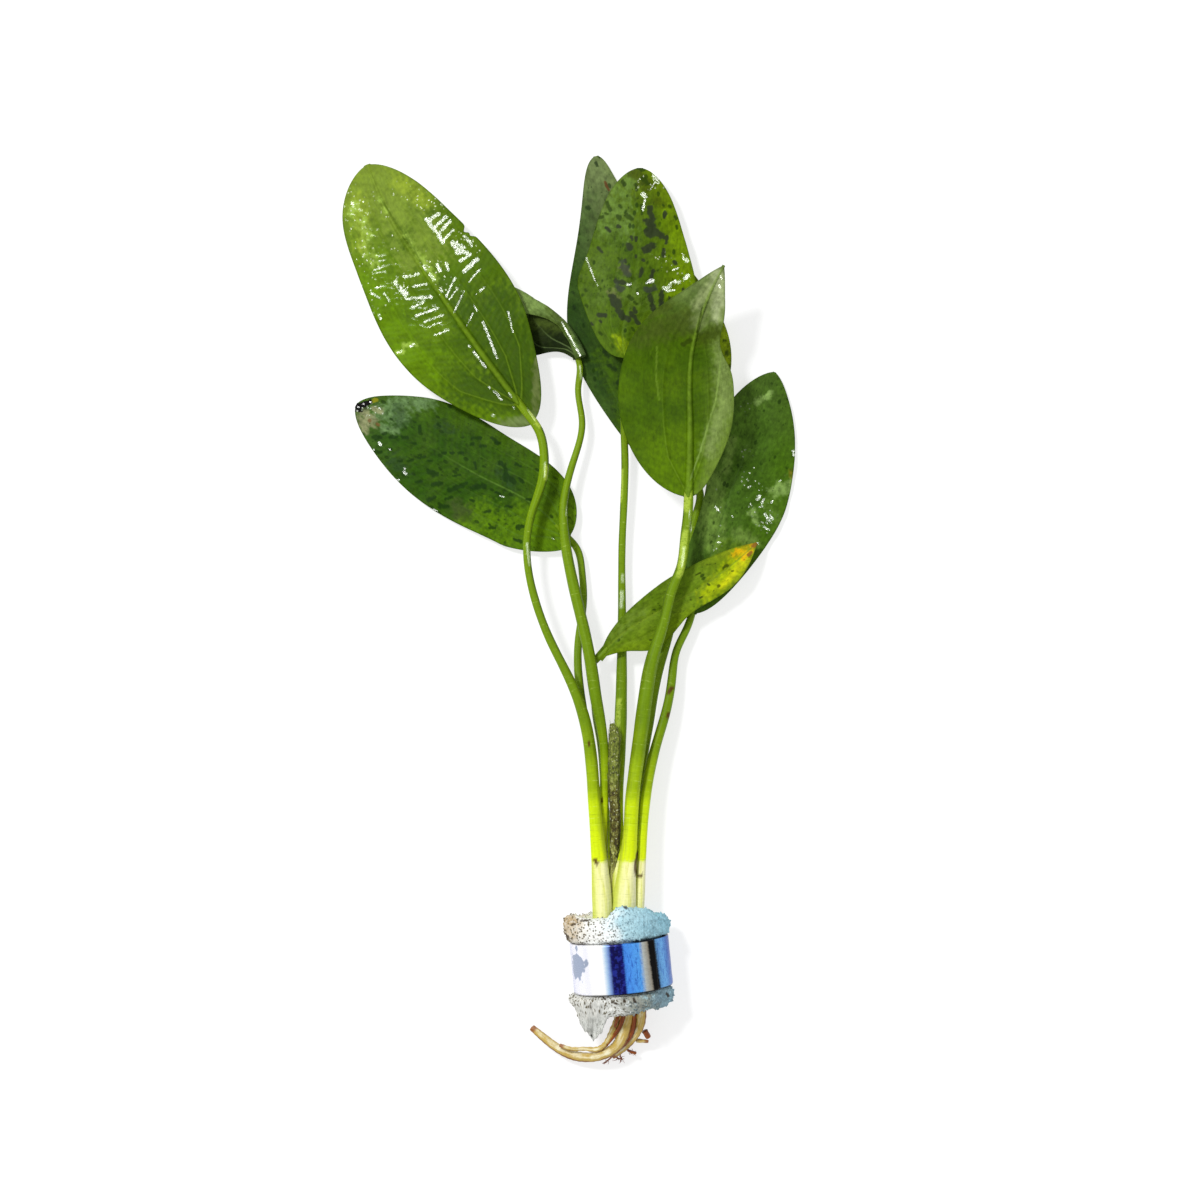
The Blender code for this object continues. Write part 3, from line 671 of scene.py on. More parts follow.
def makeLeaf(name, leaf):
    # A closed sheet. Its smooth face sinks by a groove, the ribbed one stands out by the lamina,
    # the midrib and the veins, both along the normal of the blade's grid.
    even = np.linspace(0, 1, leafForm["rows"])
    along = 0.6 * even + 0.4 * (1 - np.cos(math.pi * even)) / 2
    across = np.linspace(-1, 1, leafForm["columns"])
    across = 0.85 * across + 0.15 * across**3
    smooth, out, walked, ribHalf = bladeGrid(leaf, along, across)
    normal = unit(np.cross(np.gradient(smooth, axis=1), np.gradient(smooth, axis=0)))
    rib, side, near, full = veinHeights(leaf, along, across, out, ribHalf)
    share = np.abs(across)[None, :]
    down = np.broadcast_to(walked[:, None], out.shape)

    # Lamina between the veins: quilted by cross ridges that slant towards the tip, finer on top.
    flat = np.clip(1 - 1.4 * near, 0, 1) * smoothStep(1, 0.85, share) * np.sin(math.pi * along)[:, None]
    rough = waves(smooth, 9.0, 3, 2)
    slanted = down - leafForm["slant"] * np.abs(out) + 0.5 * rough
    crossing = np.sin(2 * math.pi * slanted / leafForm["crossVein"])
    puff = leaf.get("quilt", 0.015) * crossing * flat
    lamina = leafForm["margin"] + (leafForm["lamina"] - leafForm["margin"]) * smoothStep(1, 0.7, share)
    thick = lamina + rib + side + puff + 0.03 * rough * flat
    ribGroove = -leafForm["groove"] * np.exp(-((out / 0.6) ** 2)) * ((1 - along) ** 0.7)[:, None]
    groove = ribGroove - 0.35 * side + 0.5 * puff
    smoothFace = smooth - normal * (leaf["ridge"] * groove)[..., None]
    ribbedFace = smooth + normal * (leaf["ridge"] * thick)[..., None]
    faces = (ribbedFace, smoothFace) if leaf["ridge"] > 0 else (smoothFace, ribbedFace)
    points = np.concatenate([face.reshape(-1, 3) for face in faces])

    twice = lambda numbers: np.tile(np.broadcast_to(numbers, out.shape).ravel(), 2)
    under = np.repeat((1.0, 0.0) if leaf["ridge"] > 0 else (0.0, 1.0), out.size)
    places = {
        "leafPlace": np.column_stack((twice(out), twice(down), 30 * under)),
        "leafShare": np.column_stack((twice(across[None, :]), twice(along[:, None]), under)),
    }
    values = {"vein": twice(near), "edge": twice((1 - share) * full)}
    look = leafLooks[name]
    for number, (_, _, soft, marks) in enumerate(look["tints"]):
        ragged = min(0.3 + soft * 0.5, 0.95 - soft * 0.6)
        values["tint%d" % number] = markMask(points, marks, soft, ragged, number)
    for key, soft, seed in (("glint", 0.35, 8), ("wet", 0.5, 9), ("drops", 0.7, 10)):
        values[key] = markMask(points, look.get(key, ()), soft, 0.3, seed)
    return newPiece("blade_" + name, points, shellFaces(*out.shape), values, places)


# What each leaf looks like. upper and under: deep and light green of its two faces. left, right,
# base, tip: a colour there and its strength. vein: the veins' colour. veinFade: the shares of the
# length where it has gone and where it starts to go. spots: how many small dark ones. contrast: how
# mottled the skin is. rough: the skin's roughness. tints: colour, strength, softness and strokes
# (x0, y0, x1, y1, width) where the photo shows them, in its pixels; some of them are painted light,
# shade or sheen, as marked at each. glint: strokes where water shines. wet: where the skin between
# veins shines in dashes. drops: where small drops stand, also painted paler as their highlight.
blotch = (50, 58, 40)
leafLooks = {
    "upper_left": {
        "upper": ((38, 72, 22), (70, 105, 30)), "under": ((76, 106, 18), (96, 126, 26)),
        "left": ((100, 134, 6), 0.7), "right": ((72, 98, 24), 0.4), "base": ((66, 92, 22), 0.9),
        "tip": ((128, 150, 52), 0.8), "vein": (116, 146, 34), "spots": 0.0, "rough": 0.42,
        "veinFade": (0.75, 0.45), "contrast": 1.5,
        "tints": [
            ((120, 143, 52), 0.8, 0.6, [(385, 190, 425, 245, 44), (392, 230, 410, 262, 22)]),
            ((142, 164, 50), 0.8, 0.7, [(398, 182, 424, 202, 14), (358, 200, 362, 246, 14)]),
            ((78, 106, 34), 0.7, 0.7, [(448, 286, 462, 312, 20)]),
            ((60, 86, 24), 0.9, 0.6, [
                (478, 310, 505, 372, 44), (500, 300, 524, 385, 34), (462, 386, 500, 392, 40)]),
            ((98, 134, 4), 0.9, 0.5, [(366, 300, 420, 366, 42), (470, 215, 440, 190, 14)]),
            # Painted highlight: bright yellow-green of wet places.
            ((156, 186, 76), 0.85, 0.5, [
                (354, 205, 352, 212, 9), (362, 222, 372, 262, 12), (405, 234, 422, 262, 5),
                (424, 262, 438, 286, 8), (404, 345, 415, 344, 5), (397, 353, 403, 351, 4),
                (379, 198, 386, 212, 4)]),
            ((70, 96, 10), 0.5, 0.4, [(380, 198, 412, 246, 1.6), (412, 246, 449, 314, 1.8)]),
            # Painted shade: greyish olive along the lower margin of the base.
            ((118, 134, 84), 0.85, 0.8, [(502, 427, 534, 420, 12)]),
            # Painted sheen: grey-green along the right margin near the base.
            ((104, 116, 66), 0.8, 0.6, [(537, 362, 536, 408, 7)]),
        ],
        "glint": [
            (430, 219, 439, 214, 4), (436, 226, 446, 217, 4), (440, 232, 450, 221, 3.4),
            (443, 241, 453, 230, 3), (426, 219, 443, 242, 4.4), (453, 243, 458, 250, 6),
            (458, 243, 464, 250, 5), (457, 253, 467, 252, 4), (460, 261, 471, 254, 3.4),
            (465, 271, 477, 259, 4.6), (469, 282, 480, 269, 2), (477, 294, 485, 287, 2.6),
            (464, 236, 468, 241, 3.4), (470, 242, 472, 246, 2.6), (446, 297, 455, 278, 2.4),
            (449, 300, 458, 288, 1.4), (454, 312, 464, 291, 1.9), (467, 325, 473, 313, 1.5),
            (437, 265, 440, 271, 4), (446, 263, 448, 270, 3.4), (424, 266, 426, 270, 3),
            (430, 274, 434, 280, 3.4), (440, 288, 442, 292, 2.4), (396, 283, 406, 294, 6),
            (404, 277, 418, 274, 3.6), (406, 288, 426, 284, 2.8), (406, 299, 431, 297, 3.6),
            (412, 307, 423, 303, 2.4), (416, 316, 438, 308, 3), (424, 322, 443, 315, 2.4),
            (428, 327, 441, 322, 2), (435, 335, 449, 330, 2), (371, 293, 380, 298, 2.6),
            (375, 288, 384, 286, 2), (384, 293, 389, 301, 2), (374, 270, 380, 268, 2),
            (379, 315, 381, 319, 2.6), (411, 346, 414, 344, 3), (397, 353, 402, 351, 2.4),
            (483, 322, 497, 358, 2.6), (474, 305, 477, 311, 2), (508, 312, 513, 332, 2.1),
            (474, 352, 485, 367, 3), (489, 387, 490, 388, 2.4), (494, 391, 501, 399, 3.4),
            (509, 394, 511, 397, 3), (513, 407, 514, 408, 3), (469, 346, 470, 347, 2.4),
            (492, 415, 494, 416, 3.4), (478, 357, 479, 358, 2), (352, 203, 353, 206, 3)],
        "wet": [(362, 215, 378, 268, 20), (400, 282, 432, 322, 26)],
        "drops": [
            (354, 200, 374, 300, 22), (378, 196, 392, 250, 10), (400, 190, 436, 208, 16),
            (388, 260, 404, 290, 12), (430, 262, 452, 294, 16), (462, 234, 476, 250, 10)],
    },
    "lower_left": {
        "upper": ((46, 78, 17), (60, 90, 25)), "under": ((70, 96, 36), (90, 116, 50)),
        # base: its own bright green painted lighter still, against the stalks' cast shadow.
        "left": ((56, 90, 22), 0.3), "right": ((84, 116, 18), 0.25), "base": ((102, 138, 24), 0.9),
        "tip": ((72, 104, 46), 0.35), "vein": (92, 126, 48), "spots": 0.85, "rough": 0.42,
        "veinFade": (0.75, 0.35),
        "tints": [
            ((108, 138, 88), 0.8, 0.55, [
                (392, 403, 430, 403, 13), (384, 428, 394, 430, 10), (382, 412, 402, 416, 16)]),
            # Painted light: the base lifted against the stalks' cast shadow.
            ((92, 128, 10), 0.8, 0.7, [
                (482, 516, 520, 536, 28), (462, 520, 500, 540, 12), (540, 545, 566, 548, 12),
                (522, 518, 546, 544, 28)]),
            ((46, 68, 40), 0.7, 0.5, [
                (398, 410, 400, 422, 12), (440, 424, 450, 430, 12), (500, 470, 512, 484, 12),
                (402, 470, 394, 462, 16)]),
            ((34, 58, 22), 0.85, 0.2, [
                (429, 472, 436, 475, 5.7), (433, 485, 442, 483, 4.5), (449, 490, 466, 484, 4.9),
                (474, 488, 484, 486, 5.7), (440, 507, 447, 506, 4.5), (428, 500, 434, 498, 4.1),
                (446, 499, 452, 497, 3), (438, 424, 440, 426, 3), (472, 438, 481, 438, 3.3),
                (481, 446, 485, 446, 3.6), (471, 444, 473, 444, 3.3), (492, 438, 499, 443, 4.1),
                (475, 463, 476, 469, 2.8), (442, 453, 446, 453, 2.5), (450, 453, 454, 453, 2.8),
                (458, 453, 463, 453, 2.5), (408, 461, 413, 460, 2.6), (418, 458, 425, 457, 2.8),
                (427, 461, 432, 461, 2.1), (398, 461, 402, 461, 2.5), (419, 455, 421, 455, 2.5),
                (390, 437, 397, 437, 3.3), (402, 437, 407, 438, 3.6), (383, 434, 386, 433, 2.8),
                (374, 437, 380, 438, 4.9), (375, 452, 381, 452, 4.1), (420, 426, 420, 431, 3.3),
                (416, 482, 421, 481, 3.3), (453, 476, 460, 475, 2.1), (485, 512, 490, 511, 2.5),
                (489, 524, 492, 528, 2.5), (489, 528, 495, 528, 2.5), (517, 528, 522, 526, 4.9),
                (514, 539, 521, 542, 3.3), (505, 506, 512, 507, 2.5), (500, 462, 506, 470, 4.1),
                (506, 474, 514, 482, 4.9), (527, 499, 531, 500, 2.8), (504, 477, 506, 480, 4.9),
                (388, 449, 391, 449, 2.5), (519, 478, 523, 482, 3.3), (516, 464, 520, 466, 3.3),
                (496, 492, 500, 494, 2.5), (470, 500, 474, 501, 2.5), (412, 443, 416, 444, 2.5)]),
            ((66, 80, 40), 0.8, 0.6, [(458, 508, 464, 512, 18), (456, 516, 466, 512, 10)]),
            ((148, 150, 110), 0.85, 0.7, [
                (364, 413, 371, 421, 12), (362, 420, 364, 430, 8), (374, 409, 381, 411, 6)]),
            ((140, 138, 30), 0.8, 0.3, [(370, 402, 376, 400, 4)]),
            ((22, 20, 20), 1.0, 0.2, [(356, 408, 369, 402, 6), (357, 406, 360, 409, 6)]),
            ((120, 84, 50), 0.7, 0.3, [(369, 420, 370, 421, 3), (377, 424, 379, 425, 3)]),
        ],
        "glint": [
            (379, 443, 381, 445, 3), (404, 472, 406, 474, 3.4), (404, 468, 405, 469, 2),
            (397, 480, 399, 480, 2.4), (430, 508, 431, 509, 1.8), (434, 509, 435, 510, 2),
            (437, 511, 438, 512, 1.6), (373, 450, 374, 450, 2), (358, 407, 359, 407, 2),
            (363, 404, 364, 404, 1.6), (370, 402, 371, 402, 1.8), (379, 408, 380, 409, 2),
            (389, 449, 390, 450, 1.6), (500, 496, 504, 497, 1.6), (552, 538, 553, 539, 2)],
        "drops": [(362, 412, 380, 410, 10)],
    },
    "folded": {
        # upper and left: partly the leaf's own dark tone, partly painted shade of its cupped face.
        "upper": ((32, 42, 18), (46, 56, 30)), "under": ((96, 120, 58), (116, 142, 76)),
        "left": ((38, 48, 24), 0.4), "right": ((104, 130, 64), 0.2), "base": ((46, 60, 26), 0.5),
        "tip": ((88, 104, 54), 0.4), "vein": (128, 152, 92), "spots": 0.0, "rough": 0.5,
        "tints": [
            # Partly its own dark tone, partly painted shade near the base beside upper_left.
            ((28, 36, 16), 0.8, 0.5, [(530, 352, 562, 346, 12), (556, 334, 566, 344, 8)]),
            ((132, 158, 86), 0.8, 0.8, [(504, 288, 532, 304, 18)]),
            # Painted light: the olive where the crease curls over.
            ((72, 88, 36), 0.9, 0.9, [(536, 321, 558, 325, 14), (562, 328, 568, 334, 6)]),
            ((84, 102, 46), 0.85, 0.8, [(549, 308, 564, 322, 8)]),
            # Painted shade on the outer side of the crease.
            ((48, 74, 34), 0.9, 0.6, [(569, 323, 577, 338, 4), (577, 338, 584, 355, 6)]),
        ],
        "glint": [(562, 322, 566, 330, 2), (566, 330, 576, 348, 2), (576, 348, 581, 357, 2)],
    },
    "top_front": {
        "upper": ((66, 92, 16), (82, 108, 28)), "under": ((84, 112, 40), (104, 136, 60)),
        "left": ((88, 114, 38), 0.3), "right": ((108, 136, 8), 0.85), "base": ((80, 110, 22), 0.6),
        "tip": ((94, 116, 22), 0.7), "vein": (96, 124, 40), "spots": 0.9, "rough": 0.4,
        "veinFade": (0.35, 0.1),
        "tints": [
            ((120, 144, 70), 0.85, 0.7, [(602, 208, 606, 191, 10)]),
            ((98, 126, 54), 0.85, 0.5, [
                (608, 192, 616, 222, 34), (628, 180, 622, 200, 20), (598, 222, 612, 222, 14)]),
            ((92, 118, 46), 0.6, 0.5, [
                (596, 300, 624, 282, 16), (628, 290, 650, 300, 20), (600, 262, 604, 290, 12)]),
            ((110, 140, 2), 0.85, 0.5, [
                (676, 228, 690, 290, 10), (666, 208, 676, 232, 8), (674, 296, 690, 292, 12)]),
            ((66, 78, 16), 0.6, 0.4, [(634, 174, 648, 184, 12), (657, 200, 661, 204, 9)]),
            ((118, 110, 80), 0.45, 0.5, [(612, 292, 616, 296, 8), (622, 268, 626, 272, 8)]),
            (blotch, 0.92, 0.22, [
                (650, 208, 652, 222, 6), (650, 222, 652, 232, 11), (646, 231, 656, 231, 5),
                (657, 233, 661, 236, 7.5), (645, 249, 653, 245, 6.5), (645, 251, 650, 250, 5),
                (664, 250, 663, 256, 4), (667, 236, 666, 243, 3), (665, 212, 664, 217, 4),
                (628, 246, 630, 248, 6), (631, 237, 632, 240, 3), (636, 238, 636, 241, 3),
                (612, 297, 618, 307, 8), (616, 305, 623, 318, 7), (624, 317, 629, 320, 5),
                (631, 313, 638, 323, 4.4), (634, 309, 636, 312, 4), (599, 315, 605, 315, 4.6),
                (600, 321, 601, 322, 3), (591, 323, 592, 324, 3.4), (598, 248, 602, 252, 3),
                (650, 296, 653, 308, 5.5), (654, 308, 655, 314, 4), (662, 292, 661, 307, 5),
                (670, 298, 669, 305, 3), (642, 268, 640, 276, 3.6), (653, 271, 650, 282, 3.4),
                (636, 256, 636, 257, 3), (643, 260, 644, 261, 3), (625, 260, 626, 262, 3),
                (606, 228, 610, 231, 3.6), (618, 226, 620, 227, 3.6), (616, 281, 624, 283, 5),
                (674, 262, 675, 263, 4), (683, 289, 684, 290, 3), (664, 238, 666, 240, 3)]),
            ((60, 66, 56), 0.8, 0.3, [
                (623, 265, 627, 273, 8), (646, 290, 654, 288, 6), (618, 286, 622, 290, 6)]),
            ((48, 68, 16), 0.85, 0.22, [
                (643, 178, 647, 184, 5), (638, 168, 644, 170, 4), (636, 184, 637, 190, 2.6),
                (623, 182, 625, 184, 4), (607, 203, 610, 210, 4), (599, 217, 602, 217, 4),
                (620, 206, 621, 207, 3.4), (627, 215, 632, 219, 4.4), (618, 216, 620, 219, 4),
                (606, 213, 608, 214, 3), (663, 205, 664, 206, 3), (675, 217, 676, 219, 3),
                (669, 206, 670, 207, 2.6), (677, 226, 677, 228, 2.6), (629, 296, 632, 299, 4),
                (634, 302, 636, 304, 3.6), (618, 258, 620, 260, 3), (586, 305, 587, 306, 3),
                (578, 310, 579, 311, 3), (585, 290, 586, 291, 2.6), (600, 333, 601, 334, 3),
                (627, 195, 627, 196, 2.4), (641, 205, 642, 214, 2.4), (632, 328, 634, 330, 3)]),
            ((150, 176, 26), 0.85, 0.95, [(619, 340, 624, 350, 9), (614, 336, 618, 338, 4)]),
        ],
        "glint": [
            (643, 194, 645, 196, 5.4), (645, 200, 643, 210, 2.4), (654, 176, 657, 182, 5),
            (650, 190, 655, 182, 1.4), (684, 256, 687, 261, 4.2), (673, 270, 678, 268, 2),
            (685, 278, 688, 276, 4.4), (664, 288, 668, 288, 4), (668, 287, 675, 282, 5),
            (667, 291, 674, 290, 2), (647, 283, 653, 280, 3.6), (628, 284, 630, 284, 3.6),
            (586, 257, 595, 281, 1.8), (595, 281, 598, 286, 1), (637, 293, 638, 294, 2),
            (682, 253, 683, 254, 1.6), (678, 283, 680, 281, 2)],
        "drops": [(634, 180, 662, 186, 14), (660, 262, 686, 284, 16)],
    },
    "top_back": {
        "upper": ((50, 74, 24), (66, 92, 34)), "under": ((84, 112, 40), (104, 136, 60)),
        "left": ((58, 86, 40), 0.4), "right": ((104, 128, 16), 0.9), "base": ((64, 92, 14), 0.8),
        # tip: its pale grey-green is a painted reflection of the sky.
        "tip": ((112, 128, 80), 0.9), "vein": (84, 110, 56), "spots": 0.6, "rough": 0.5,
        "veinFade": (0.5, 0.2),
        "tints": [
            # Painted shade: darker along and under top_front's lower left edge.
            ((44, 68, 30), 0.75, 0.6, [(574, 310, 584, 352, 16), (592, 362, 606, 392, 12)]),
            ((72, 96, 48), 0.6, 0.6, [(586, 200, 580, 260, 16)]),
            ((70, 100, 10), 0.7, 0.5, [(602, 356, 622, 400, 18), (618, 400, 624, 430, 12)]),
            ((104, 62, 36), 0.8, 0.3, [(605, 182, 609, 190, 2.6)]),
            # Painted light: the right margin strip lifted against the front blade's cast shadow.
            ((150, 176, 36), 0.9, 0.9, [(723, 326, 730, 388, 12)]),
            ((36, 52, 30), 0.8, 0.3, [
                (587, 208, 589, 208, 4), (596, 163, 597, 166, 3), (572, 292, 573, 293, 3),
                (574, 306, 574, 308, 3), (610, 366, 614, 369, 5), (604, 352, 609, 356, 4),
                (618, 382, 620, 386, 4), (726, 352, 727, 354, 4), (724, 340, 725, 341, 3),
                (729, 366, 730, 367, 3)]),
        ],
    },
    "front": {
        "upper": ((48, 84, 24), (78, 112, 36)), "under": ((66, 94, 6), (78, 106, 10)),
        # right and tip: pale grey-greens, a painted sheen where the right half and the tip curl up.
        "left": ((74, 104, 8), 0.4), "right": ((108, 132, 54), 0.9), "base": ((94, 128, 10), 0.8),
        "tip": ((146, 160, 108), 0.45), "vein": (112, 142, 44), "spots": 0.0, "rough": 0.5,
        "contrast": 1.8,
        "tints": [
            # Painted shade: the darker olive beyond the bend, on the left half and by the fold.
            ((74, 90, 34), 0.9, 0.75, [
                (636, 336, 686, 320, 24), (662, 328, 690, 326, 18), (640, 318, 668, 306, 12)]),
            ((66, 82, 26), 0.9, 0.9, [(702, 338, 716, 332, 15)]),
            # Painted sheen: pale grey-greens on the right half of the tip and along the right margin.
            ((122, 138, 82), 0.85, 1.0, [(699, 322, 712, 298, 13)]),
            ((152, 166, 110), 0.9, 0.9, [(697, 305, 709, 287, 9)]),
            ((170, 182, 134), 0.85, 1.0, [(717, 272, 721, 302, 12), (717, 302, 716, 318, 8)]),
            ((126, 147, 80), 0.95, 0.9, [(723, 348, 725, 410, 15), (723, 410, 709, 450, 14)]),
            ((94, 126, 10), 0.5, 0.8, [(680, 440, 690, 486, 30), (652, 440, 664, 470, 20)]),
            # Dark lines: painted shade in the crease of the bend.
            ((52, 66, 20), 0.7, 0.3, [(683, 344, 690, 340, 5), (702, 308, 697, 332, 1.6)]),
            ((140, 168, 84), 0.6, 0.4, [
                (722, 336, 720, 368, 1.7), (720, 368, 716, 399, 1.7), (716, 399, 701, 449, 1.7),
                (701, 449, 690, 480, 1.5)]),
            ((112, 142, 46), 0.6, 0.4, [(657, 346, 656, 376, 1.7), (656, 376, 659, 400, 1.5)]),
        ],
        "glint": [(719, 286, 720, 288, 2.6), (721, 276, 722, 279, 1.8), (628, 449, 630, 446, 1.6)],
    },
    "right": {
        "upper": ((64, 94, 29), (76, 108, 38)), "under": ((80, 112, 50), (104, 132, 70)),
        "left": ((76, 104, 40), 0.5), "right": ((72, 106, 14), 0.6), "base": ((88, 116, 50), 0.5),
        "tip": ((72, 98, 38), 0.7), "vein": (78, 108, 46), "spots": 0.5, "rough": 0.42,
        "veinFade": (0.9, 0.5),
        "tints": [
            ((54, 80, 24), 0.45, 0.6, [(748, 456, 756, 480, 18)]),
            # Painted light: lifted against the front blade's cast shadow.
            ((86, 120, 42), 0.75, 0.7, [(744, 424, 752, 410, 24), (738, 444, 746, 452, 14)]),
            ((106, 138, 40), 0.8, 0.7, [(716, 548, 738, 548, 15)]),
            ((116, 146, 66), 0.8, 0.85, [
                (712, 480, 714, 534, 20), (726, 470, 732, 440, 8), (704, 500, 710, 545, 14),
                (738, 534, 752, 542, 12)]),
            ((140, 172, 92), 0.8, 0.6, [
                (774, 490, 790, 486, 12), (756, 402, 770, 394, 6), (752, 512, 757, 522, 7)]),
            ((96, 128, 50), 0.6, 0.5, [(764, 498, 776, 520, 12)]),
            ((150, 130, 40), 0.6, 0.5, [(791, 472, 794, 482, 5)]),
        ],
        "drops": [
            (748, 480, 768, 526, 18), (716, 488, 718, 552, 7), (740, 448, 752, 470, 12),
            (738, 396, 750, 410, 10)],
        "glint": [
            (757, 500, 760, 496, 3.4), (762, 503, 764, 499, 3), (760, 507, 762, 506, 2.4),
            (765, 514, 769, 520, 3.4), (770, 515, 773, 519, 2.6), (764, 527, 769, 530, 2.4),
            (766, 522, 768, 524, 2), (716, 507, 718, 510, 2.6), (748, 487, 751, 486, 2),
            (793, 451, 794, 455, 3.4), (718, 542, 720, 543, 2), (741, 466, 742, 467, 2.4),
            (748, 452, 750, 451, 1.8), (745, 401, 747, 401, 1.8), (757, 543, 758, 544, 2),
            (732, 516, 733, 517, 1.6), (779, 482, 781, 480, 1.6), (771, 503, 773, 501, 1.8)],
    },
    "low_right": {
        "upper": ((92, 122, 24), (112, 140, 36)), "under": ((84, 112, 40), (110, 140, 50)),
        "left": ((98, 126, 36), 0.4), "right": ((118, 144, 20), 0.5), "base": ((94, 124, 26), 0.6),
        "tip": ((190, 194, 20), 0.3), "vein": (120, 144, 40), "spots": 0.4, "rough": 0.45,
        "contrast": 2.0,
        "tints": [
            ((112, 138, 52), 0.7, 0.5, [(612, 636, 640, 612, 12)]),
            ((162, 180, 16), 0.9, 0.8, [(706, 594, 734, 572, 15), (726, 570, 738, 558, 12)]),
            ((200, 204, 26), 0.9, 1.0, [(722, 586, 739, 568, 6), (739, 568, 748, 554, 8)]),
            ((226, 180, 26), 0.9, 0.6, [(734, 555, 752, 545, 7), (743, 558, 750, 550, 6)]),
            ((140, 92, 42), 0.9, 0.4, [(754, 546, 759, 542, 5), (748, 555, 751, 552, 2.6)]),
            ((56, 70, 18), 0.85, 0.25, [
                (725, 566, 727, 566, 3.4), (718, 586, 719, 586, 3), (696, 575, 700, 573, 2),
                (708, 584, 709, 585, 2), (690, 600, 691, 600, 2), (732, 571, 733, 571, 2),
                (700, 598, 702, 597, 2), (650, 640, 652, 640, 2)]),
        ],
        "glint": [(682, 567, 684, 568, 2.4), (703, 557, 705, 556, 1.6)],
    },
}


spotTone, rimTone = (34, 56, 20), (56, 76, 18)


def leafMaterial(name, look):
    # From below: the two greens, tints, veins, mottling, spots, hard marks, and a film of water.
    paint = Paint("leaf " + name, fixed={"Specular IOR Level": 0.06})
    place = paint.place("leafPlace")
    across, along, under = paint.parts(paint.place("leafShare"))
    outward, downward, _ = paint.parts(place)
    clouds = paint.noise(place, 0.11, 4.0, 0.6)
    mottle = paint.noise(place, 0.42, 4.0, 0.65)
    fine = paint.noise(paint.stretched(place, 1.0, 0.45, 1.0), 1.3, 4.0, 0.65)
    upper = paint.mix(clouds.step(0.36, 0.62), *look["upper"])
    lower = paint.mix(clouds.step(0.36, 0.62), *look["under"])
    colour = paint.mix(under, upper, lower)

    # Tints towards the margins, base and tip, then those at named places, all with cloudy borders.
    drift = (clouds - 0.5) * 0.5
    for key, share in (("base", (along + drift).step(0.30, 0.02)),
                       ("left", (across * -1 + drift).step(0.15, 0.85)),
                       ("right", (across + drift).step(0.15, 0.85)),
                       ("tip", (along + drift * 0.6).step(0.66, 0.94))):
        tint, strength = look[key]
        colour = paint.mix(share * strength, colour, tint)
    hard = 0.4  # tints no softer than this have no cloudy border and lie over the veins
    for number, (tint, strength, soft, _) in enumerate(look["tints"]):
        if soft > hard:
            share = paint.number("tint%d" % number) * (mottle + drift).step(0.9 - 1.2 * soft, 0.6)
            colour = paint.mix(share * strength, colour, tint)

    # Veins, cross veins and the mottled skin between them.
    lean = downward - outward.maths("ABSOLUTE") * leafForm["slant"] + (clouds - 0.5) * 5.0
    cross = (lean * (2 * math.pi / leafForm["crossVein"])).maths("SINE")
    fade = along.step(*look.get("veinFade", (1.6, 1.2)))
    colour = paint.mix(paint.number("vein").step(0.4, 0.95) * fade * 0.6, colour, look["vein"])
    contrast = look.get("contrast", 2.2)
    skin = (fine * 0.62 + mottle * 0.54) * contrast
    colour = paint.shadeBy(colour, 1 - 0.58 * contrast + skin + cross * 0.035)

    # Small dark spots, longer along the blade, thinning out by a larger noise.
    spots = look["spots"]
    if spots:
        bent = paint.stretched(place, 1.0, 0.62, 1.0)
        spot = paint.cells(bent, 0.55).step(0.30, 0.18)
        crowd = paint.noise(place, 0.2, 2.0).step(0.62 - 0.22 * spots, 0.68 - 0.16 * spots)
        speck = paint.cells(bent, 1.2).step(0.24, 0.12) * paint.noise(place, 0.35, 2.0).step(0.5, 0.58)
        dark = (spot * crowd).maths("MAXIMUM", speck * 0.8) * (1 - under)
        colour = paint.mix(dark * 0.75, colour, spotTone)
    for number, (tint, strength, soft, _) in enumerate(look["tints"]):
        if soft <= hard:
            share = paint.number("tint%d" % number) * strength
            colour = paint.mix(share, colour, paint.mix(fine, shaded(tint, 0.8), shaded(tint, 1.15)))
    colour = paint.mix(paint.number("edge").step(0.5, 0.1) * 0.3, colour, rimTone)

    # Water lies on the skin in strokes, and in dashes between the cross veins of wet places, but
    # not on faces that look down.
    bump = paint.bump(fine * 0.6 + mottle * 0.5 + cross * 0.12, 0.35, 0.00025)
    dashes = cross.step(0.2, 0.8) * paint.number("wet") * mottle.step(0.52, 0.6)
    top = paint.upward()
    drops = paint.cells(place, 0.9).step(0.26, 0.14) * paint.number("drops") * top
    glint = (paint.number("glint") * mottle.step(0.30, 0.46)).step(0.35, 1.0)
    shine = glint.maths("MAXIMUM", dashes * 0.5)
    shine = shine.maths("MAXIMUM", drops * fine.step(0.4, 0.6) * 0.8) * top
    # Drops are painted paler too: a painted highlight of the water drops.
    colour = paint.mix(drops * 0.7, colour, shaded(look["tip"][0], 0.5, 110))
    middle = np.mean(leaves[name]["rib"], axis=0)
    film = paint.bump(mottle + fine, 0.3, 0.0003, paint.leaning(0.9, *middle))
    paint.wet(shine, colour, film)
    return paint.finish(colour, look["rough"] + fine * 0.25, bump)


slotOf = {part["node"]: part["material_slot"] for part in frame["record"]["subparts"]}
for leafName, leafShape in leaves.items():
    blade = makeLeaf(leafName, leafShape)
    nodeName = "blade_" + leafName
    dress(blade, leafMaterial(leafName, leafLooks[leafName]), slotOf[nodeName], nodeName)
print("leaf blades made")


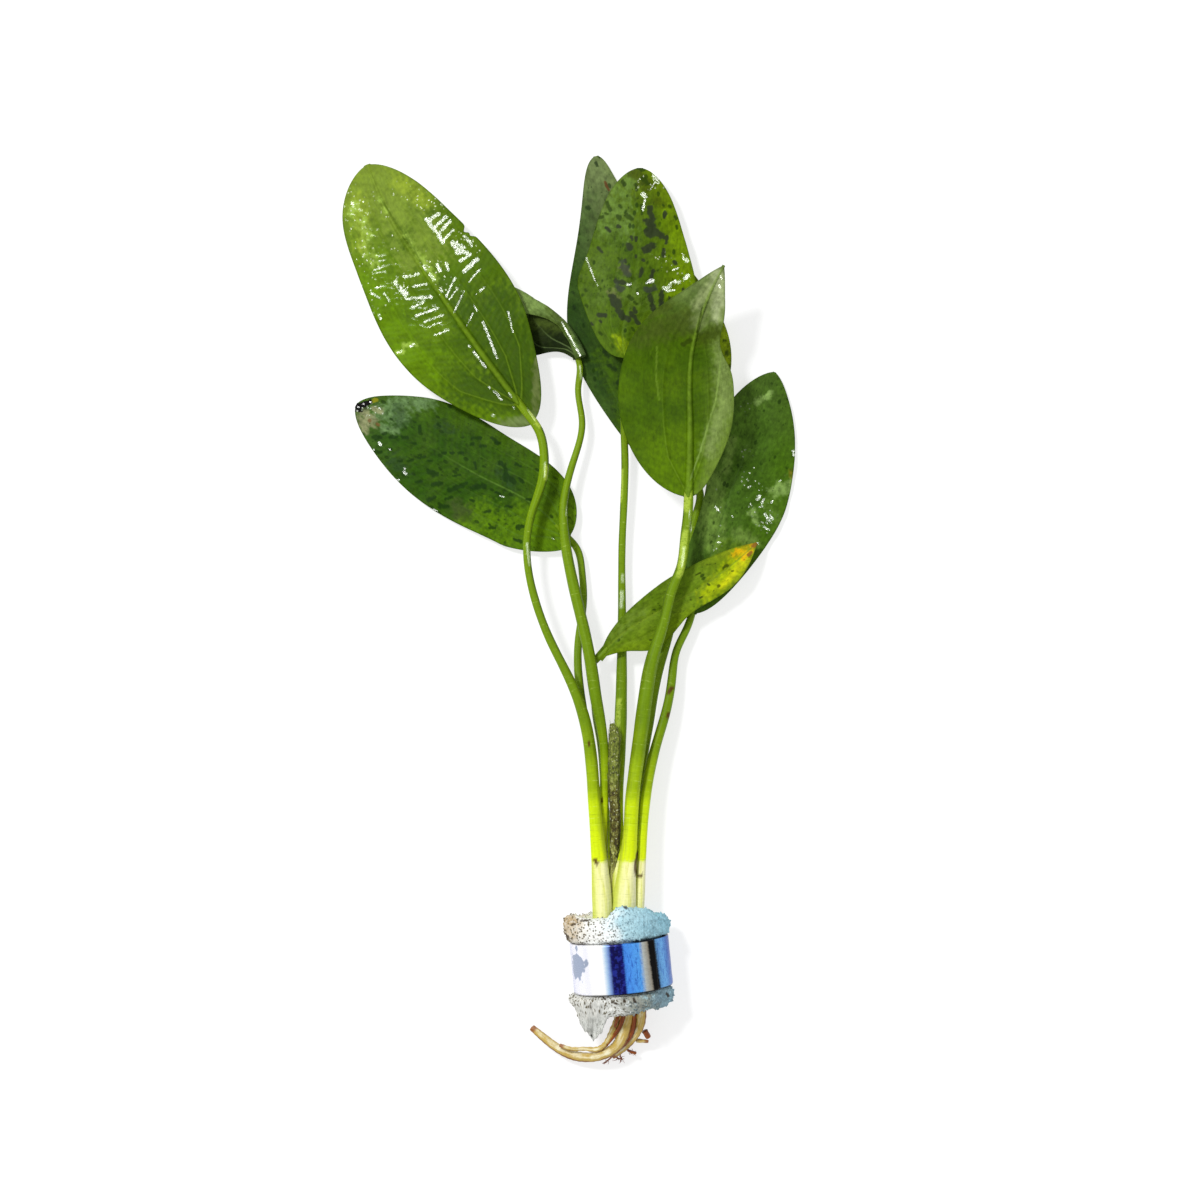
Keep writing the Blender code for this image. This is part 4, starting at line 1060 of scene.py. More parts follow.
# Stalks, each as points (x, y, z, diameter) from the crown up to its blade.
stalks = {
    "upper_left": [
        (-4.5, 6.3, 11.8, 4.7), (-4.9, 19.0, 12.2, 4.8), (-5.7, 30.0, 12.2, 3.8), (-6.7, 42.1, 12.0, 3.1),
        (-9.1, 61.9, 12.0, 2.9), (-12.7, 71.7, 12.0, 2.3), (-17.6, 81.6, 11.6, 2.1),
        (-21.3, 91.5, 11.0, 2.0), (-23.4, 104.6, 10.4, 1.8), (-22.3, 112.5, 10.2, 2.0),
        (-19.6, 121.0, 10.0, 2.3), (-19.2, 128.5, 9.8, 2.2), (-20.4, 133.4, 9.6, 2.1)],
    "lower_left": [
        (-3.9, 6.3, 6.0, 2.1), (-4.6, 19.0, 6.3, 2.3), (-5.8, 30.0, 6.7, 2.1), (-6.9, 44.0, 7.6, 2.0),
        (-8.2, 57.0, 8.0, 2.0), (-10.3, 70.0, 6.8, 2.0), (-10.6, 81.5, 4.7, 1.9), (-9.4, 91.0, 3.5, 1.8),
        (-9.8, 99.0, 3.0, 1.7)],
    "folded": [
        (-4.3, 6.3, 8.8, 2.2), (-4.4, 19.0, 9.1, 2.5), (-4.5, 30.0, 9.3, 2.4), (-4.3, 42.0, 9.6, 2.3),
        (-4.5, 56.9, 9.8, 2.4), (-6.2, 66.8, 9.8, 2.9), (-7.7, 76.7, 9.6, 2.9), (-10.7, 90.3, 8.6, 2.8),
        (-13.6, 104.0, 7.8, 2.5), (-14.3, 115.1, 7.2, 2.1), (-11.6, 126.8, 6.0, 1.7),
        (-9.7, 135.7, 5.4, 1.6), (-10.7, 144.0, 4.8, 1.6)],
    "top_front": [
        (-0.4, 6.3, 10.8, 3.6), (-0.5, 19.0, 11.0, 3.4), (-0.7, 30.0, 9.6, 3.0), (-0.9, 42.0, 7.0, 2.8),
        (-0.5, 51.7, 6.0, 2.9), (0.0, 66.6, 4.6, 2.9), (0.2, 91.5, 4.0, 1.9), (0.2, 103.9, 4.2, 1.8),
        (0.9, 128.0, 5.6, 1.8), (1.2, 141.2, 6.6, 1.8)],
    "top_back": [
        (3.2, 6.3, 7.8, 2.4), (3.4, 19.0, 7.9, 2.5), (3.5, 30.0, 7.4, 2.4), (3.8, 42.0, 6.8, 2.4),
        (5.0, 50.0, 6.2, 2.4), (7.0, 61.2, 5.6, 2.3), (9.2, 73.2, 4.8, 2.2), (11.2, 80.2, 4.2, 2.1),
        (13.4, 88.9, 3.4, 2.0), (15.4, 96.4, 2.8, 2.0), (17.2, 103.6, 2.4, 2.0),
        (18.3, 111.5, 2.3, 2.0)],
    "front": [
        (0.7, 6.3, 12.0, 5.8), (0.9, 18.0, 12.1, 5.6), (1.6, 26.5, 12.3, 4.3), (2.1, 32.0, 12.3, 3.6),
        (2.7, 42.1, 12.2, 3.4), (3.9, 52.0, 12.2, 3.5), (5.9, 66.8, 12.2, 3.5), (8.3, 79.2, 12.2, 3.1),
        (10.3, 85.3, 12.3, 2.7), (12.5, 94.0, 12.4, 2.4), (14.6, 99.4, 12.6, 2.2),
        (15.8, 107.5, 12.8, 2.4)],
    "right": [
        (4.0, 6.3, 10.8, 2.4), (4.6, 19.0, 10.6, 2.4), (5.1, 30.0, 10.0, 2.3), (5.9, 42.0, 8.9, 2.6),
        (8.5, 55.0, 7.6, 2.5), (11.4, 65.0, 6.4, 2.3), (12.6, 72.0, 5.5, 2.1),
        (13.8, 79.0, 4.9, 1.9)],
    "low_right": [
        (-1.2, 6.3, 6.2, 2.0), (-1.6, 19.0, 6.0, 2.2), (-3.0, 30.0, 6.0, 2.1), (-4.2, 44.0, 6.2, 2.0),
        (-5.0, 56.0, 6.3, 2.0), (-6.4, 66.0, 6.4, 2.0), (-7.0, 72.0, 6.5, 2.0)],
}
# Brown marks on stalks, pale ones that are painted highlights, and wet glints, as strokes
# (x0, y0, x1, y1, width) in the photo's pixels.
stalkMarks = {
    "brown": [(595, 860, 597, 864, 4), (672, 688, 669, 692, 4), (669, 714, 668, 717, 4),
              (602, 798, 602, 802, 2), (637, 853, 635, 866, 2.2), (635, 866, 636, 874, 2.6),
              (636, 874, 641, 877, 2.4), (641, 877, 642, 874, 2), (665, 745, 665, 748, 2),
              (589, 742, 589, 745, 2)],
    "pale": [(619, 700, 617, 745, 5), (532, 412, 540, 425, 6), (546, 466, 546, 478, 4),
             (687, 494, 686, 508, 8), (685, 534, 680, 574, 7), (622, 470, 621, 500, 3)],
    "glint": [(529, 410, 535, 419, 3), (545, 464, 545, 476, 1.5), (527, 544, 530, 565, 2.4),
              (623, 575, 623, 582, 3), (622, 592, 621, 606, 3.4), (684, 548, 682, 566, 2),
              (580, 366, 581, 378, 1.5), (568, 500, 566, 514, 1.5), (690, 512, 690, 530, 2)],
}


stalkForm = {
    "sides": 30,
    "ringStep": 0.7,
    "wrap": 1.2,  # radius at which the material is laid round each stalk
    "rampLength": 160,  # height that the two ramps of green run over
    "creamTo": (26.4, 27.6),  # the cream bases end between these heights
    # Painted greens for the lit and the shady side, at shares of that height.
    "lit": [(0.16, (224, 244, 24)), (0.24, (206, 232, 20)), (0.31, (144, 174, 14)), (0.38, (112, 144, 12)),
            (0.5, (112, 144, 12)), (0.75, (120, 152, 16)), (1.0, (118, 146, 22))],
    "shady": [(0.15, (196, 210, 70)), (0.24, (166, 186, 50)), (0.34, (112, 136, 22)), (0.5, (88, 114, 12)),
              (1.0, (74, 100, 14))],
}


def wrapPlaces(walked, angle, radius=1.0):
    # Where points of a tube lie once it is straightened along Y.
    return np.column_stack((np.cos(angle) * radius, walked, np.sin(angle) * radius))


def makeStalk(name, points, leaf):
    # A tube with faint lengthwise ribs, which runs on into its blade's midrib.
    centre = route(leaf["rib"], np.array([0.0, 0.03, 0.07]))
    ahead = unit(centre[1] - centre[0])
    out = np.cross(np.cross(ahead, (0.0, 0.0, 1.0)), ahead) * leaf["ridge"]
    last = points[-1][3]
    path = points + [(*(centre[0] + out - ahead * leaf.get("lead", 3.5)), last),
                     (*(centre[1] + out * 0.8), last * 0.85), (*(centre[2] + out * 0.5), 1.1)]
    length = lengthsAlong(np.array(path))[-1]
    rows = route(path, np.linspace(0, 1, int(length / stalkForm["ringStep"])))
    phase = np.random.default_rng(sum(map(ord, name))).uniform(0, 6, 3)

    def section(walked, angle):
        ribs = 0.025 * np.cos(7 * angle + phase[0] + 0.01 * walked) + 0.02 * np.cos(3 * angle + phase[1])
        swell = 0.02 * np.sin(walked / 5 + phase[2]) + 0.012 * np.sin(walked / 1.7 + 2 * angle)
        return 1 + ribs + swell

    points, faces, walked, angle = tube(rows, stalkForm["sides"], section)
    values = {key: markMask(points, marks, 0.3, 0.3, 4) for key, marks in stalkMarks.items()}
    places = {"stalkPlace": wrapPlaces(walked, angle, stalkForm["wrap"])}
    return newPiece("stalk_" + name, points, faces, values, places)


def stalkMaterial():
    # Green by the height along the plant, with cream bases that end at a cut line.
    paint = Paint("stalk", fixed={"Specular IOR Level": 0.12})
    x, y, _ = paint.parts(paint.place())
    wrap = paint.place("stalkPlace")
    right, _, top = paint.parts(wrap)
    streak = paint.noise(paint.stretched(wrap, 2.6, 0.12, 2.6), 1.0, 4.0, 0.6)
    cloud = paint.noise(wrap, 0.16, 3.0)
    grain = paint.noise(paint.stretched(wrap, 1.0, 1.6, 1.0), 1.4, 4.0, 0.7)
    cross = paint.noise(paint.stretched(wrap, 0.25, 2.4, 0.25), 1.0, 4.0, 0.6)
    height = y * 1000 + (cloud - 0.5) * 18
    cut = y * 1000 + (streak - 0.5) * 2 + (grain - 0.5) * 2

    # Painted light and shade: each stalk is lit on its top and on the side away from the middle of the
    # bunch, and olive on the other, broken up by streaks.
    outer = right * ((x * 1000 + 2.2).step(-4, 4) * 2 - 1)
    green = paint.ramp(height / stalkForm["rampLength"], stalkForm["lit"])
    shady = paint.ramp(height / stalkForm["rampLength"], stalkForm["shady"])
    colour = paint.mix((outer * 0.45 + top * 0.6 + (streak - 0.5) * 2.2).step(0.7, -0.5), green, shady)
    cream = paint.mix(streak.step(0.3, 0.6), (236, 238, 132), (0.86, 0.85, 0.42, 1))
    # Painted shade and light on the cream bases: yellower green on their left side, paler on their right.
    cream = paint.mix(right.step(-0.3, -1.1) * 0.9, cream, (212, 224, 84))
    cream = paint.mix(right.step(0.4, 1.1) * 0.6, cream, (240, 238, 206))
    low, high = stalkForm["creamTo"]
    colour = paint.mix(cut.step(high, low), colour, cream)
    colour = paint.shadeBy(colour, 0.70 + streak * 0.26 + grain * 0.36)

    # Fine rings of darker and paler skin, then the marks and the wet glints.
    colour = paint.mix(cross.step(0.40, 0.34) * 0.25, colour, (80, 104, 14))
    pale = cross.step(0.6, 0.68) * grain.step(0.46, 0.6)
    colour = paint.mix(pale * 0.4, colour, (220, 238, 130))
    colour = paint.mix(paint.number("brown") * 0.95, colour, (88, 62, 16))
    # Pale strokes: painted highlights on the stalks.
    colour = paint.mix(paint.number("pale") * grain.step(0.3, 0.5) * 0.5, colour, (210, 234, 92))
    film = paint.bump(streak, 0.2, 0.0002, paint.leaning(0.8, 0, 100, 8))
    paint.wet((paint.number("glint") + streak * 0.015) * 0.95 * paint.upward(), colour, film, 0.24)
    return paint.finish(colour, 0.36 + streak * 0.22, paint.bump(streak + grain * 0.5, 0.4, 0.0002))


stalkPaint = stalkMaterial()
for leafName, stalkPoints in stalks.items():
    dress(makeStalk(leafName, stalkPoints, leaves[leafName]), stalkPaint, "stalk", "stalk_" + leafName)
print("stalks made")

# Dead stalk: a withered, furrowed tube that ends in a frayed tuft.
deadStalk = {
    "points": [(-2.6, 6.3, 9.9, 0.9), (-2.8, 19.0, 10.3, 1.0), (-2.0, 25.0, 11.0, 1.7),
               (-1.6, 31.0, 11.2, 2.3), (-1.5, 38.0, 10.9, 2.4), (-1.9, 47.0, 10.4, 2.6),
               (-1.8, 55.0, 9.8, 2.7), (-1.8, 58.4, 9.2, 2.3), (-2.3, 60.7, 8.7, 1.2)],
    "fibres": 90,
    "fibreWidth": 0.22,
    "browns": [(0.38, (34, 28, 4)), (0.46, (92, 88, 22)), (0.53, (136, 138, 50)), (0.62, (196, 200, 120))],
}


def makeDeadStalk():
    # A tube whose section is furrowed by cosines and roughened by waves, and its loose fibres.
    rows = route(deadStalk["points"], np.linspace(0, 1, 260))

    def section(walked, angle):
        furrows = 0.10 * np.cos(5 * angle + 0.06 * walked) + 0.07 * np.cos(9 * angle - 0.1 * walked)
        around = np.stack(np.broadcast_arrays(2.2 * np.cos(angle), walked, 2.2 * np.sin(angle)), -1)
        return 0.95 + furrows + 0.14 * waves(around, 2.2, 41, 3)

    parts = [tube(rows, 44, section)]
    draw = np.random.default_rng(21)
    even = np.linspace(0, 1, 7)
    for _ in range(deadStalk["fibres"]):
        # Each fibre starts in the stalk's skin, runs along it and lifts off at its end.
        at = draw.uniform(0.25, 0.96)
        run = route(deadStalk["points"], np.linspace(at, min(at + draw.uniform(0.05, 0.14), 1), 7))
        turn = draw.uniform(0, math.pi)
        lift = np.linspace(0.85, draw.uniform(1.05, 1.5), 7) * run[:, 3] / 2
        on = even * draw.uniform(0, 1.4)
        path = run[:, :3] + np.column_stack((np.cos(turn) * lift, on, np.sin(turn) * lift * 0.6))
        thick = np.linspace(1, 0.3, 7) * deadStalk["fibreWidth"]
        parts.append(tube(route(np.column_stack((path, thick)), np.linspace(0, 1, 16)), 6))
    points, faces, walked, angle = joined(parts)
    return newPiece("dead_stalk", points, faces, None, {"stalkPlace": wrapPlaces(walked, angle)})


def deadMaterial():
    paint = Paint("dead stalk", 0.8)
    wrap = paint.place("stalkPlace")
    streak = paint.noise(paint.stretched(wrap, 1.6, 0.8, 1.6), 1.1, 6.0, 0.75)
    cloud = paint.noise(wrap, 0.3, 3.0)
    _, y, _ = paint.parts(paint.place())
    height = y * 1000 + (cloud - 0.5) * 12
    colour = paint.ramp(streak, deadStalk["browns"])
    colour = paint.mix(height.step(47, 41) * height.step(27, 35) * 0.5, colour, (76, 60, 18))
    colour = paint.mix(height.step(44, 50) * 0.5, colour, (130, 150, 56))
    fleck = paint.noise(wrap, 1.7, 3.0, 0.8)
    colour = paint.mix(fleck.step(0.46, 0.38) * 0.85, colour, (38, 28, 6))
    flakes = paint.cells(wrap, 1.5).step(0.3, 0.14) * cloud.step(0.40, 0.50)
    colour = paint.mix(flakes * 0.9, colour, (210, 214, 166))
    colour = paint.mix((y * 1000 + (streak - 0.5) * 16).step(27, 21) * 0.85, colour, (212, 208, 128))
    return paint.finish(colour, 0.65 + streak * 0.3, paint.bump(streak, 0.9, 0.0004))


dress(makeDeadStalk(), deadMaterial(), "dead_stalk", "dead_stalk")


def crownMaterial():
    paint = Paint("crown", 0.6)
    cloud = paint.noise(paint.place(), 400.0, 4.0)
    colour = paint.ramp(cloud, [(0.3, (150, 130, 60)), (0.5, (208, 200, 120)), (0.7, (240, 236, 170))])
    return paint.finish(colour, 0.45 + cloud * 0.3, paint.bump(cloud, 0.6, 0.0004))


frame["nodes"]["crown"].data.materials.clear()
frame["nodes"]["crown"].data.materials.append(crownMaterial())
print("dead stalk and crown made")


# Roots: points (x, y, z, diameter) from the crown outwards, and how knobbly each one is.
roots = {
    "root_long": ([
        (1.9, -8.6, 8.6, 3.0), (1.7, -11.1, 8.0, 3.2), (0.5, -16.2, 7.6, 3.0), (-1.4, -19.6, 6.8, 2.7),
        (-4.3, -21.4, 5.5, 2.5), (-7.3, -22.3, 4.2, 2.4), (-12.1, -21.9, 2.8, 2.4),
        (-16.2, -20.0, 2.2, 2.2), (-19.3, -17.7, 1.8, 1.9), (-22.2, -15.3, 1.4, 1.6)], 0.05),
    "root_left": ([
        (-0.6, -8.6, 10.2, 1.5), (-0.8, -11.9, 9.4, 1.5), (-2.6, -16.1, 8.2, 1.3),
        (-4.3, -19.1, 7.2, 1.2), (-6.0, -20.1, 6.4, 1.1), (-9.0, -20.1, 5.4, 1.0),
        (-12.2, -20.2, 5.0, 0.9), (-15.2, -19.3, 4.4, 0.8)], 0.22),
    "root_right": ([
        (5.0, -8.6, 9.8, 2.3), (4.8, -13.4, 7.8, 2.3), (3.8, -16.1, 6.4, 2.1), (2.2, -18.3, 5.0, 2.0),
        (-0.3, -20.8, 3.5, 1.8), (-2.0, -22.2, 2.8, 1.5)], 0.07),
    "root_red": ([
        (3.0, -8.6, 6.2, 1.4), (3.0, -11.3, 5.6, 1.4), (1.9, -16.4, 3.8, 1.2), (-0.5, -19.6, 1.9, 1.0),
        (-2.6, -21.0, 1.2, 0.9)], 0.10),
    "root_stub_upper": ([
        (5.9, -15.6, 6.2, 1.5), (6.8, -17.2, 5.7, 1.3)], 0.10),
    "root_stub_lower": ([
        (3.9, -18.1, 4.8, 1.0), (6.7, -18.4, 4.2, 0.8)], 0.12),
}
# Thin roots and hairs without solids of their own: points (x, y, z, diameter).
rootlets = [
    [(0.9, -9.5, 9.2, 1.0), (0.2, -12.8, 9.2, 1.1), (-1.6, -16.2, 8.4, 1.0), (-3.8, -19.2, 7.4, 0.6)],
    [(3.3, -9.5, 9.0, 1.2), (3.1, -13.5, 8.2, 1.3), (2.1, -17.0, 7.0, 1.2), (-0.2, -20.0, 5.4, 0.8)],
    [(1.6, -20.6, 3.6, 0.6), (2.9, -21.2, 3.4, 0.8), (3.7, -21.4, 3.2, 0.7)],
    [(-1.2, -20.6, 3.2, 0.5), (-2.8, -22.9, 2.4, 0.4), (-4.6, -24.2, 1.6, 0.2)],
    [(-0.4, -21.4, 3.0, 0.4), (0.2, -23.2, 2.6, 0.2)],
    [(-1.8, -21.8, 2.8, 0.4), (-0.6, -22.9, 2.2, 0.3), (0.8, -23.0, 1.8, 0.15)],
    [(-0.4, -10.8, 10.0, 0.6), (-1.2, -12.8, 10.2, 0.9), (-1.6, -14.2, 9.8, 0.5)],
    [(0.1, -11.4, 9.8, 0.5), (-0.6, -14.2, 9.6, 0.7), (-1.9, -16.2, 8.8, 0.4)],
]


rootForm = {
    "sides": 28,
    "ringStep": 0.28,
    "cutEnd": 1.6,  # how long the browned end is
    "hairs": 70,
    # Pale, tan and dark tones of each kind of root: pale for its painted highlight along the top, dark for
    # the painted shade of its sides.
    "tan": ((255, 250, 214), (208, 178, 90), (140, 86, 14)),
    "red": ((196, 126, 52), (150, 72, 20), (96, 32, 10)),
}


def makeRoot(name, points, knobs):
    # A tube with beads, uneven rings and faint furrows.
    length = lengthsAlong(np.array(points))[-1]
    rows = route(points, np.linspace(0, 1, max(24, int(length / rootForm["ringStep"]))))
    phase = np.random.default_rng(sum(map(ord, name))).uniform(0, 6, 5)

    def section(walked, angle):
        beads = knobs * np.sin(walked / 0.5 + phase[0] + 0.7 * np.sin(walked / 1.9)) ** 2
        rings = 0.5 * knobs * np.sin(walked / 1.3 + 2 * angle + phase[1])
        furrows = 0.03 * np.cos(6 * angle + phase[2]) + 0.02 * np.cos(11 * angle + walked / 3 + phase[3])
        return 0.98 + beads + rings + furrows

    points, faces, walked, angle = tube(rows, rootForm["sides"], section, (3, 2))
    end = np.clip(1 - (length - walked) / rootForm["cutEnd"], 0, 1)
    return newPiece(name, points, faces, {"cutEnd": end}, {"rootPlace": wrapPlaces(walked, angle)})


def rootMaterial(name, pale, tan, dark):
    paint = Paint(name, fixed={"IOR": 1.45})
    wrap = paint.place("rootPlace")
    streak = paint.noise(paint.stretched(wrap, 1.6, 0.16, 1.6), 1.0, 5.0, 0.62)
    cloud = paint.noise(wrap, 0.35, 3.0)
    grain = paint.noise(wrap, 3.0, 3.0)
    side, _, top = paint.parts(wrap)
    # Painted light and shade: lighter along each root's top and its upper left side, darker round its
    # sides, broken up by streaks and clouds.
    lit = (side * 0.35 + top * 0.93).step(0.0, 1.0) * 0.6 + streak * 0.7 + (cloud - 0.5) * 0.5 - 0.16
    colour = paint.ramp(lit, [(0.24, dark), (0.44, tan), (0.72, tan), (0.94, pale)])
    colour = paint.shadeBy(colour, 0.76 + grain * 0.44)
    colour = paint.mix(paint.number("cutEnd").step(0.1, 0.7) * 0.85, colour, (150, 76, 18))
    return paint.finish(colour, 0.30 + grain * 0.35, paint.bump(streak + grain * 0.4, 0.5, 0.0003))


tanRoot, redRoot = (rootMaterial(kind + " root", *rootForm[kind]) for kind in ("tan", "red"))
for rootName, (rootPoints, knobbly) in roots.items():
    isRed = rootName in ("root_red", "root_stub_upper")
    dress(makeRoot(rootName, rootPoints, knobbly), redRoot if isRed else tanRoot,
          "red_root" if isRed else "root", rootName)


def makeRootlets():
    # The thin roots, and fine hairs that leave them and the big roots at random.
    parts = [tube(route(points, np.linspace(0, 1, 30)), 10) for points in rootlets]
    draw = np.random.default_rng(7)
    bearers = rootlets + [roots["root_red"][0], roots["root_right"][0][2:]]
    for _ in range(rootForm["hairs"]):
        bearer = bearers[draw.integers(len(bearers))]
        start = route(bearer, np.array([draw.uniform(0.35, 1.0)]))[0]
        way = draw.normal(size=3) * (1.0, 1.0, 0.5) + (-0.2, -0.5, 0.0)
        way *= draw.uniform(0.5, 1.7) / np.linalg.norm(way)
        bend = draw.normal(size=3) * 0.25
        path = [(*start[:3], 0.16), (*(start[:3] + way * 0.5 + bend), 0.12), (*(start[:3] + way), 0.05)]
        path = [(x, y, max(z, 0.3), d) for x, y, z, d in path]
        parts.append(tube(route(path, np.linspace(0, 1, 9)), 6, domes=(1, 1)))
    points, faces, walked, angle = joined(parts)
    places = {"rootPlace": wrapPlaces(walked, angle)}
    return newPiece("root_hairs", points, faces, {"cutEnd": walked * 0}, places)


dress(makeRootlets(), redRoot, "red_root")
print("roots made")


# Foam ring and metal strip, each worked out round the ring's own middle: x to the right, height
# along the plant and z off the table, in mm. turn and lean are in degrees.
ring = {"y": 1.6, "z": 9.5, "turn": 5.5, "lean": 3.4, "squash": 0.8}


def setInRing(x, y, z):
    # The ring's own places as places on the plant: y leans with z, then x and y turn about z.
    turn = math.radians(ring["turn"])
    y = y - math.tan(math.radians(ring["lean"])) * z
    return np.stack((x * math.cos(turn) - y * math.sin(turn),
                     x * math.sin(turn) + y * math.cos(turn) + ring["y"], z + ring["z"]), -1)


foamForm = {
    # Profile from the rim round the outside, past the strip, to the foot and back up inside.
    "profile": [(9.4, 12.5), (10.8, 12.5), (12.1, 11.4), (12.8, 9.6), (12.6, 7.6), (11.9, 6.7), (11.1, 6.2),
                (11.0, 0.0), (11.1, -6.2), (11.7, -6.8), (12.2, -7.8), (12.0, -9.2), (11.0, -10.8),
                (9.6, -11.4), (8.2, -11.0), (7.4, -9.4), (7.3, 0.0), (7.4, 10.0), (8.2, 12.0)],
    "rimRise": 1.9, "rimDip": 1.5, "backDip": 0.6,  # how the rim's height differs round the ring
    "footDrop": 0.5,  # how much lower the foot is at the left
    "rows": 440, "columns": 200, "poreDepth": 0.5, "poreSize": 0.8, "lumps": 0.28, "frizz": 0.10,
    # Lumps (x, y, z, half size), which push the ring's skin out.
    "looseEnd": (-11.2, 11.0, 12.2, 3.2), "tanLump": (-8.6, 13.6, 12.6, 3.0),
    "lowLump": (-12.2, -7.6, 9.0, 3.0),
    # How far the tail hangs down at each x, and how high off the table it hangs.
    "tail": [(-11.6, 0), (-10.4, 2.6), (-8.6, 4.6), (-6.4, 6.6), (-5.3, 5.2), (-4.4, 3.2), (-3.2, 0)],
    "tailZ": 9.5,
    # Painted shade in dark holes and slits, as strokes in the photo's pixels.
    "holeShades": [(566, 935, 568, 938, 3), (579, 1023, 581, 1028, 2.2), (624, 907, 626, 908, 2.4),
               (667, 994, 668, 996, 2.6), (634, 999, 635, 1002, 2.8), (612, 1002, 617, 1004, 2),
               (590, 1006, 591, 1008, 2), (581, 921, 590, 920, 2), (571, 925, 575, 924, 2),
               (624, 1000, 625, 1002, 2.4), (603, 998, 605, 999, 2)],
    # The foam's colours from its left side to its right, at shares of the way.
    "skin": [(0.0, (0.86, 0.83, 0.74, 1)), (0.25, (0.96, 0.96, 0.92, 1)), (0.47, (0.88, 0.96, 0.97, 1)),
             (0.62, (198, 236, 246)), (1.0, (160, 212, 230))],
}


def closedRoute(profile, count):
    # Even places on a smooth closed curve through the profile's corners.
    loop = np.array([profile[-2], profile[-1], *profile, profile[0], profile[1]], float)
    walked = lengthsAlong(np.column_stack((loop, np.zeros(len(loop)))))
    places = np.linspace(walked[2], walked[-2], count, endpoint=False)
    return smoothThrough(walked, loop, places)


def makeFoam():
    # The profile carried round the ring, then its rim and foot waved, lumps pushed out, the tail
    # drawn down and the open skin roughened and pitted.
    turn = np.linspace(0, 2 * math.pi, foamForm["rows"], endpoint=False)
    profile = closedRoute(foamForm["profile"], foamForm["columns"])
    radius = np.broadcast_to(profile[:, 0], (len(turn), len(profile))).copy()
    height = np.broadcast_to(profile[:, 1], radius.shape).copy()
    sideways, front = np.sin(turn)[:, None], np.cos(turn)[:, None]
    outside = smoothStep(6.4, 7.4, np.abs(height)) * smoothStep(8.0, 10.0, radius)
    wave = lambda times, start: np.sin(times * turn + start)[:, None]

    # The rim stands higher at the right and at the back, and waves a little.
    rim = smoothStep(6.5, 12.0, height)
    right = smoothStep(-0.3, 0.05, sideways) * smoothStep(1.0, 0.6, sideways)
    height += rim * (foamForm["rimRise"] * right * smoothStep(-0.9, 0.2, front)
                     - foamForm["rimDip"] * smoothStep(0.5, 1.0, sideways)
                     - foamForm["backDip"] * smoothStep(0.3, -0.6, front)
                     + 0.2 * wave(5, 1.0) + 0.2 * wave(9, 0))
    foot = smoothStep(-6.5, -11.0, height)
    height -= foot * (foamForm["footDrop"] * smoothStep(0.2, -0.9, sideways) + 0.3 * wave(4, 2))
    radius += outside * (0.25 * wave(5, 0.5) + 0.25 * np.sin(9 * turn[:, None] + height / 2))
    radius -= 1.0 * foot * smoothStep(0.3, 0.9, sideways)

    points = setInRing(radius * sideways, height, radius * front * ring["squash"])
    away = np.stack(np.broadcast_arrays(sideways, 0 * radius, front), -1)
    for key in ("looseEnd", "tanLump", "lowLump"):
        x, y, z, half = foamForm[key]
        near = np.exp(-(((points - (x, y, z)) / (half * 0.8)) ** 2).sum(axis=-1))[..., None]
        points = points + away * (near * 1.6) + np.array((-0.5, 0.5, 0)) * near

    # The tail: the front of the foot drawn down into a thin flap that ends in a point and is torn.
    tail = np.array(foamForm["tail"])
    torn = 1 + 0.07 * np.sin(2.6 * points[..., 0] + 1) + 0.06 * np.sin(6.1 * points[..., 0])
    drop = np.interp(points[..., 0], tail[:, 0], tail[:, 1]) * torn * smoothStep(-0.1, 0.35, front)
    pull = drop * smoothStep(-7.4, -11.2, height)
    points[..., 1] -= pull
    points[..., 2] += (foamForm["tailZ"] - points[..., 2]) * np.clip(pull / 6.5, 0, 0.86)

    # Which way the skin faces, and the lumps, frizz and pores on the skin that the strip leaves open.
    down, on = (np.roll(points, -1, axis) - np.roll(points, 1, axis) for axis in (0, 1))
    skin = np.cross(down, on)
    skin /= np.linalg.norm(skin, axis=-1)[..., None] + 1e-9
    if (skin * away).sum() < 0:
        skin = -skin
    openSkin = smoothStep(6.3, 7.0, np.abs(height)) * smoothStep(7.8, 9.2, radius)
    lumps = waves(points, 5.0, 11, 3) * foamForm["lumps"]
    pits = cellPits(points, foamForm["poreSize"], 3.0)
    present = (scatter(np.floor(points / 1.3), 5.0)[..., 0] > 0.25) * (pull < 1.2)
    deep = smoothStep(0.42, 0.12, pits) * present
    frizz = waves(points, 0.7, 12, 2) * foamForm["frizz"]
    points = points + skin * (openSkin * (lumps + frizz - foamForm["poreDepth"] * deep))[..., None]
    points[..., 2] = np.maximum(points[..., 2], np.where(np.abs(height) > 6.6, 0.15, 1.2))

    holeShade = markMask(points, foamForm["holeShades"])
    values = {"pore": deep * openSkin, "pulled": np.clip(pull / 4, 0, 1), "holeShade": holeShade}
    place = np.stack(np.broadcast_arrays(radius * sideways, height, front * radius), -1)
    faces = gridQuads(len(turn) + 1, len(profile), ring=True) % (len(turn) * len(profile))
    return newPiece("foam_wrap", points.reshape(-1, 3), [faces],
                    {key: number.ravel() for key, number in values.items()},
                    {"ringPlace": place.reshape(-1, 3)})


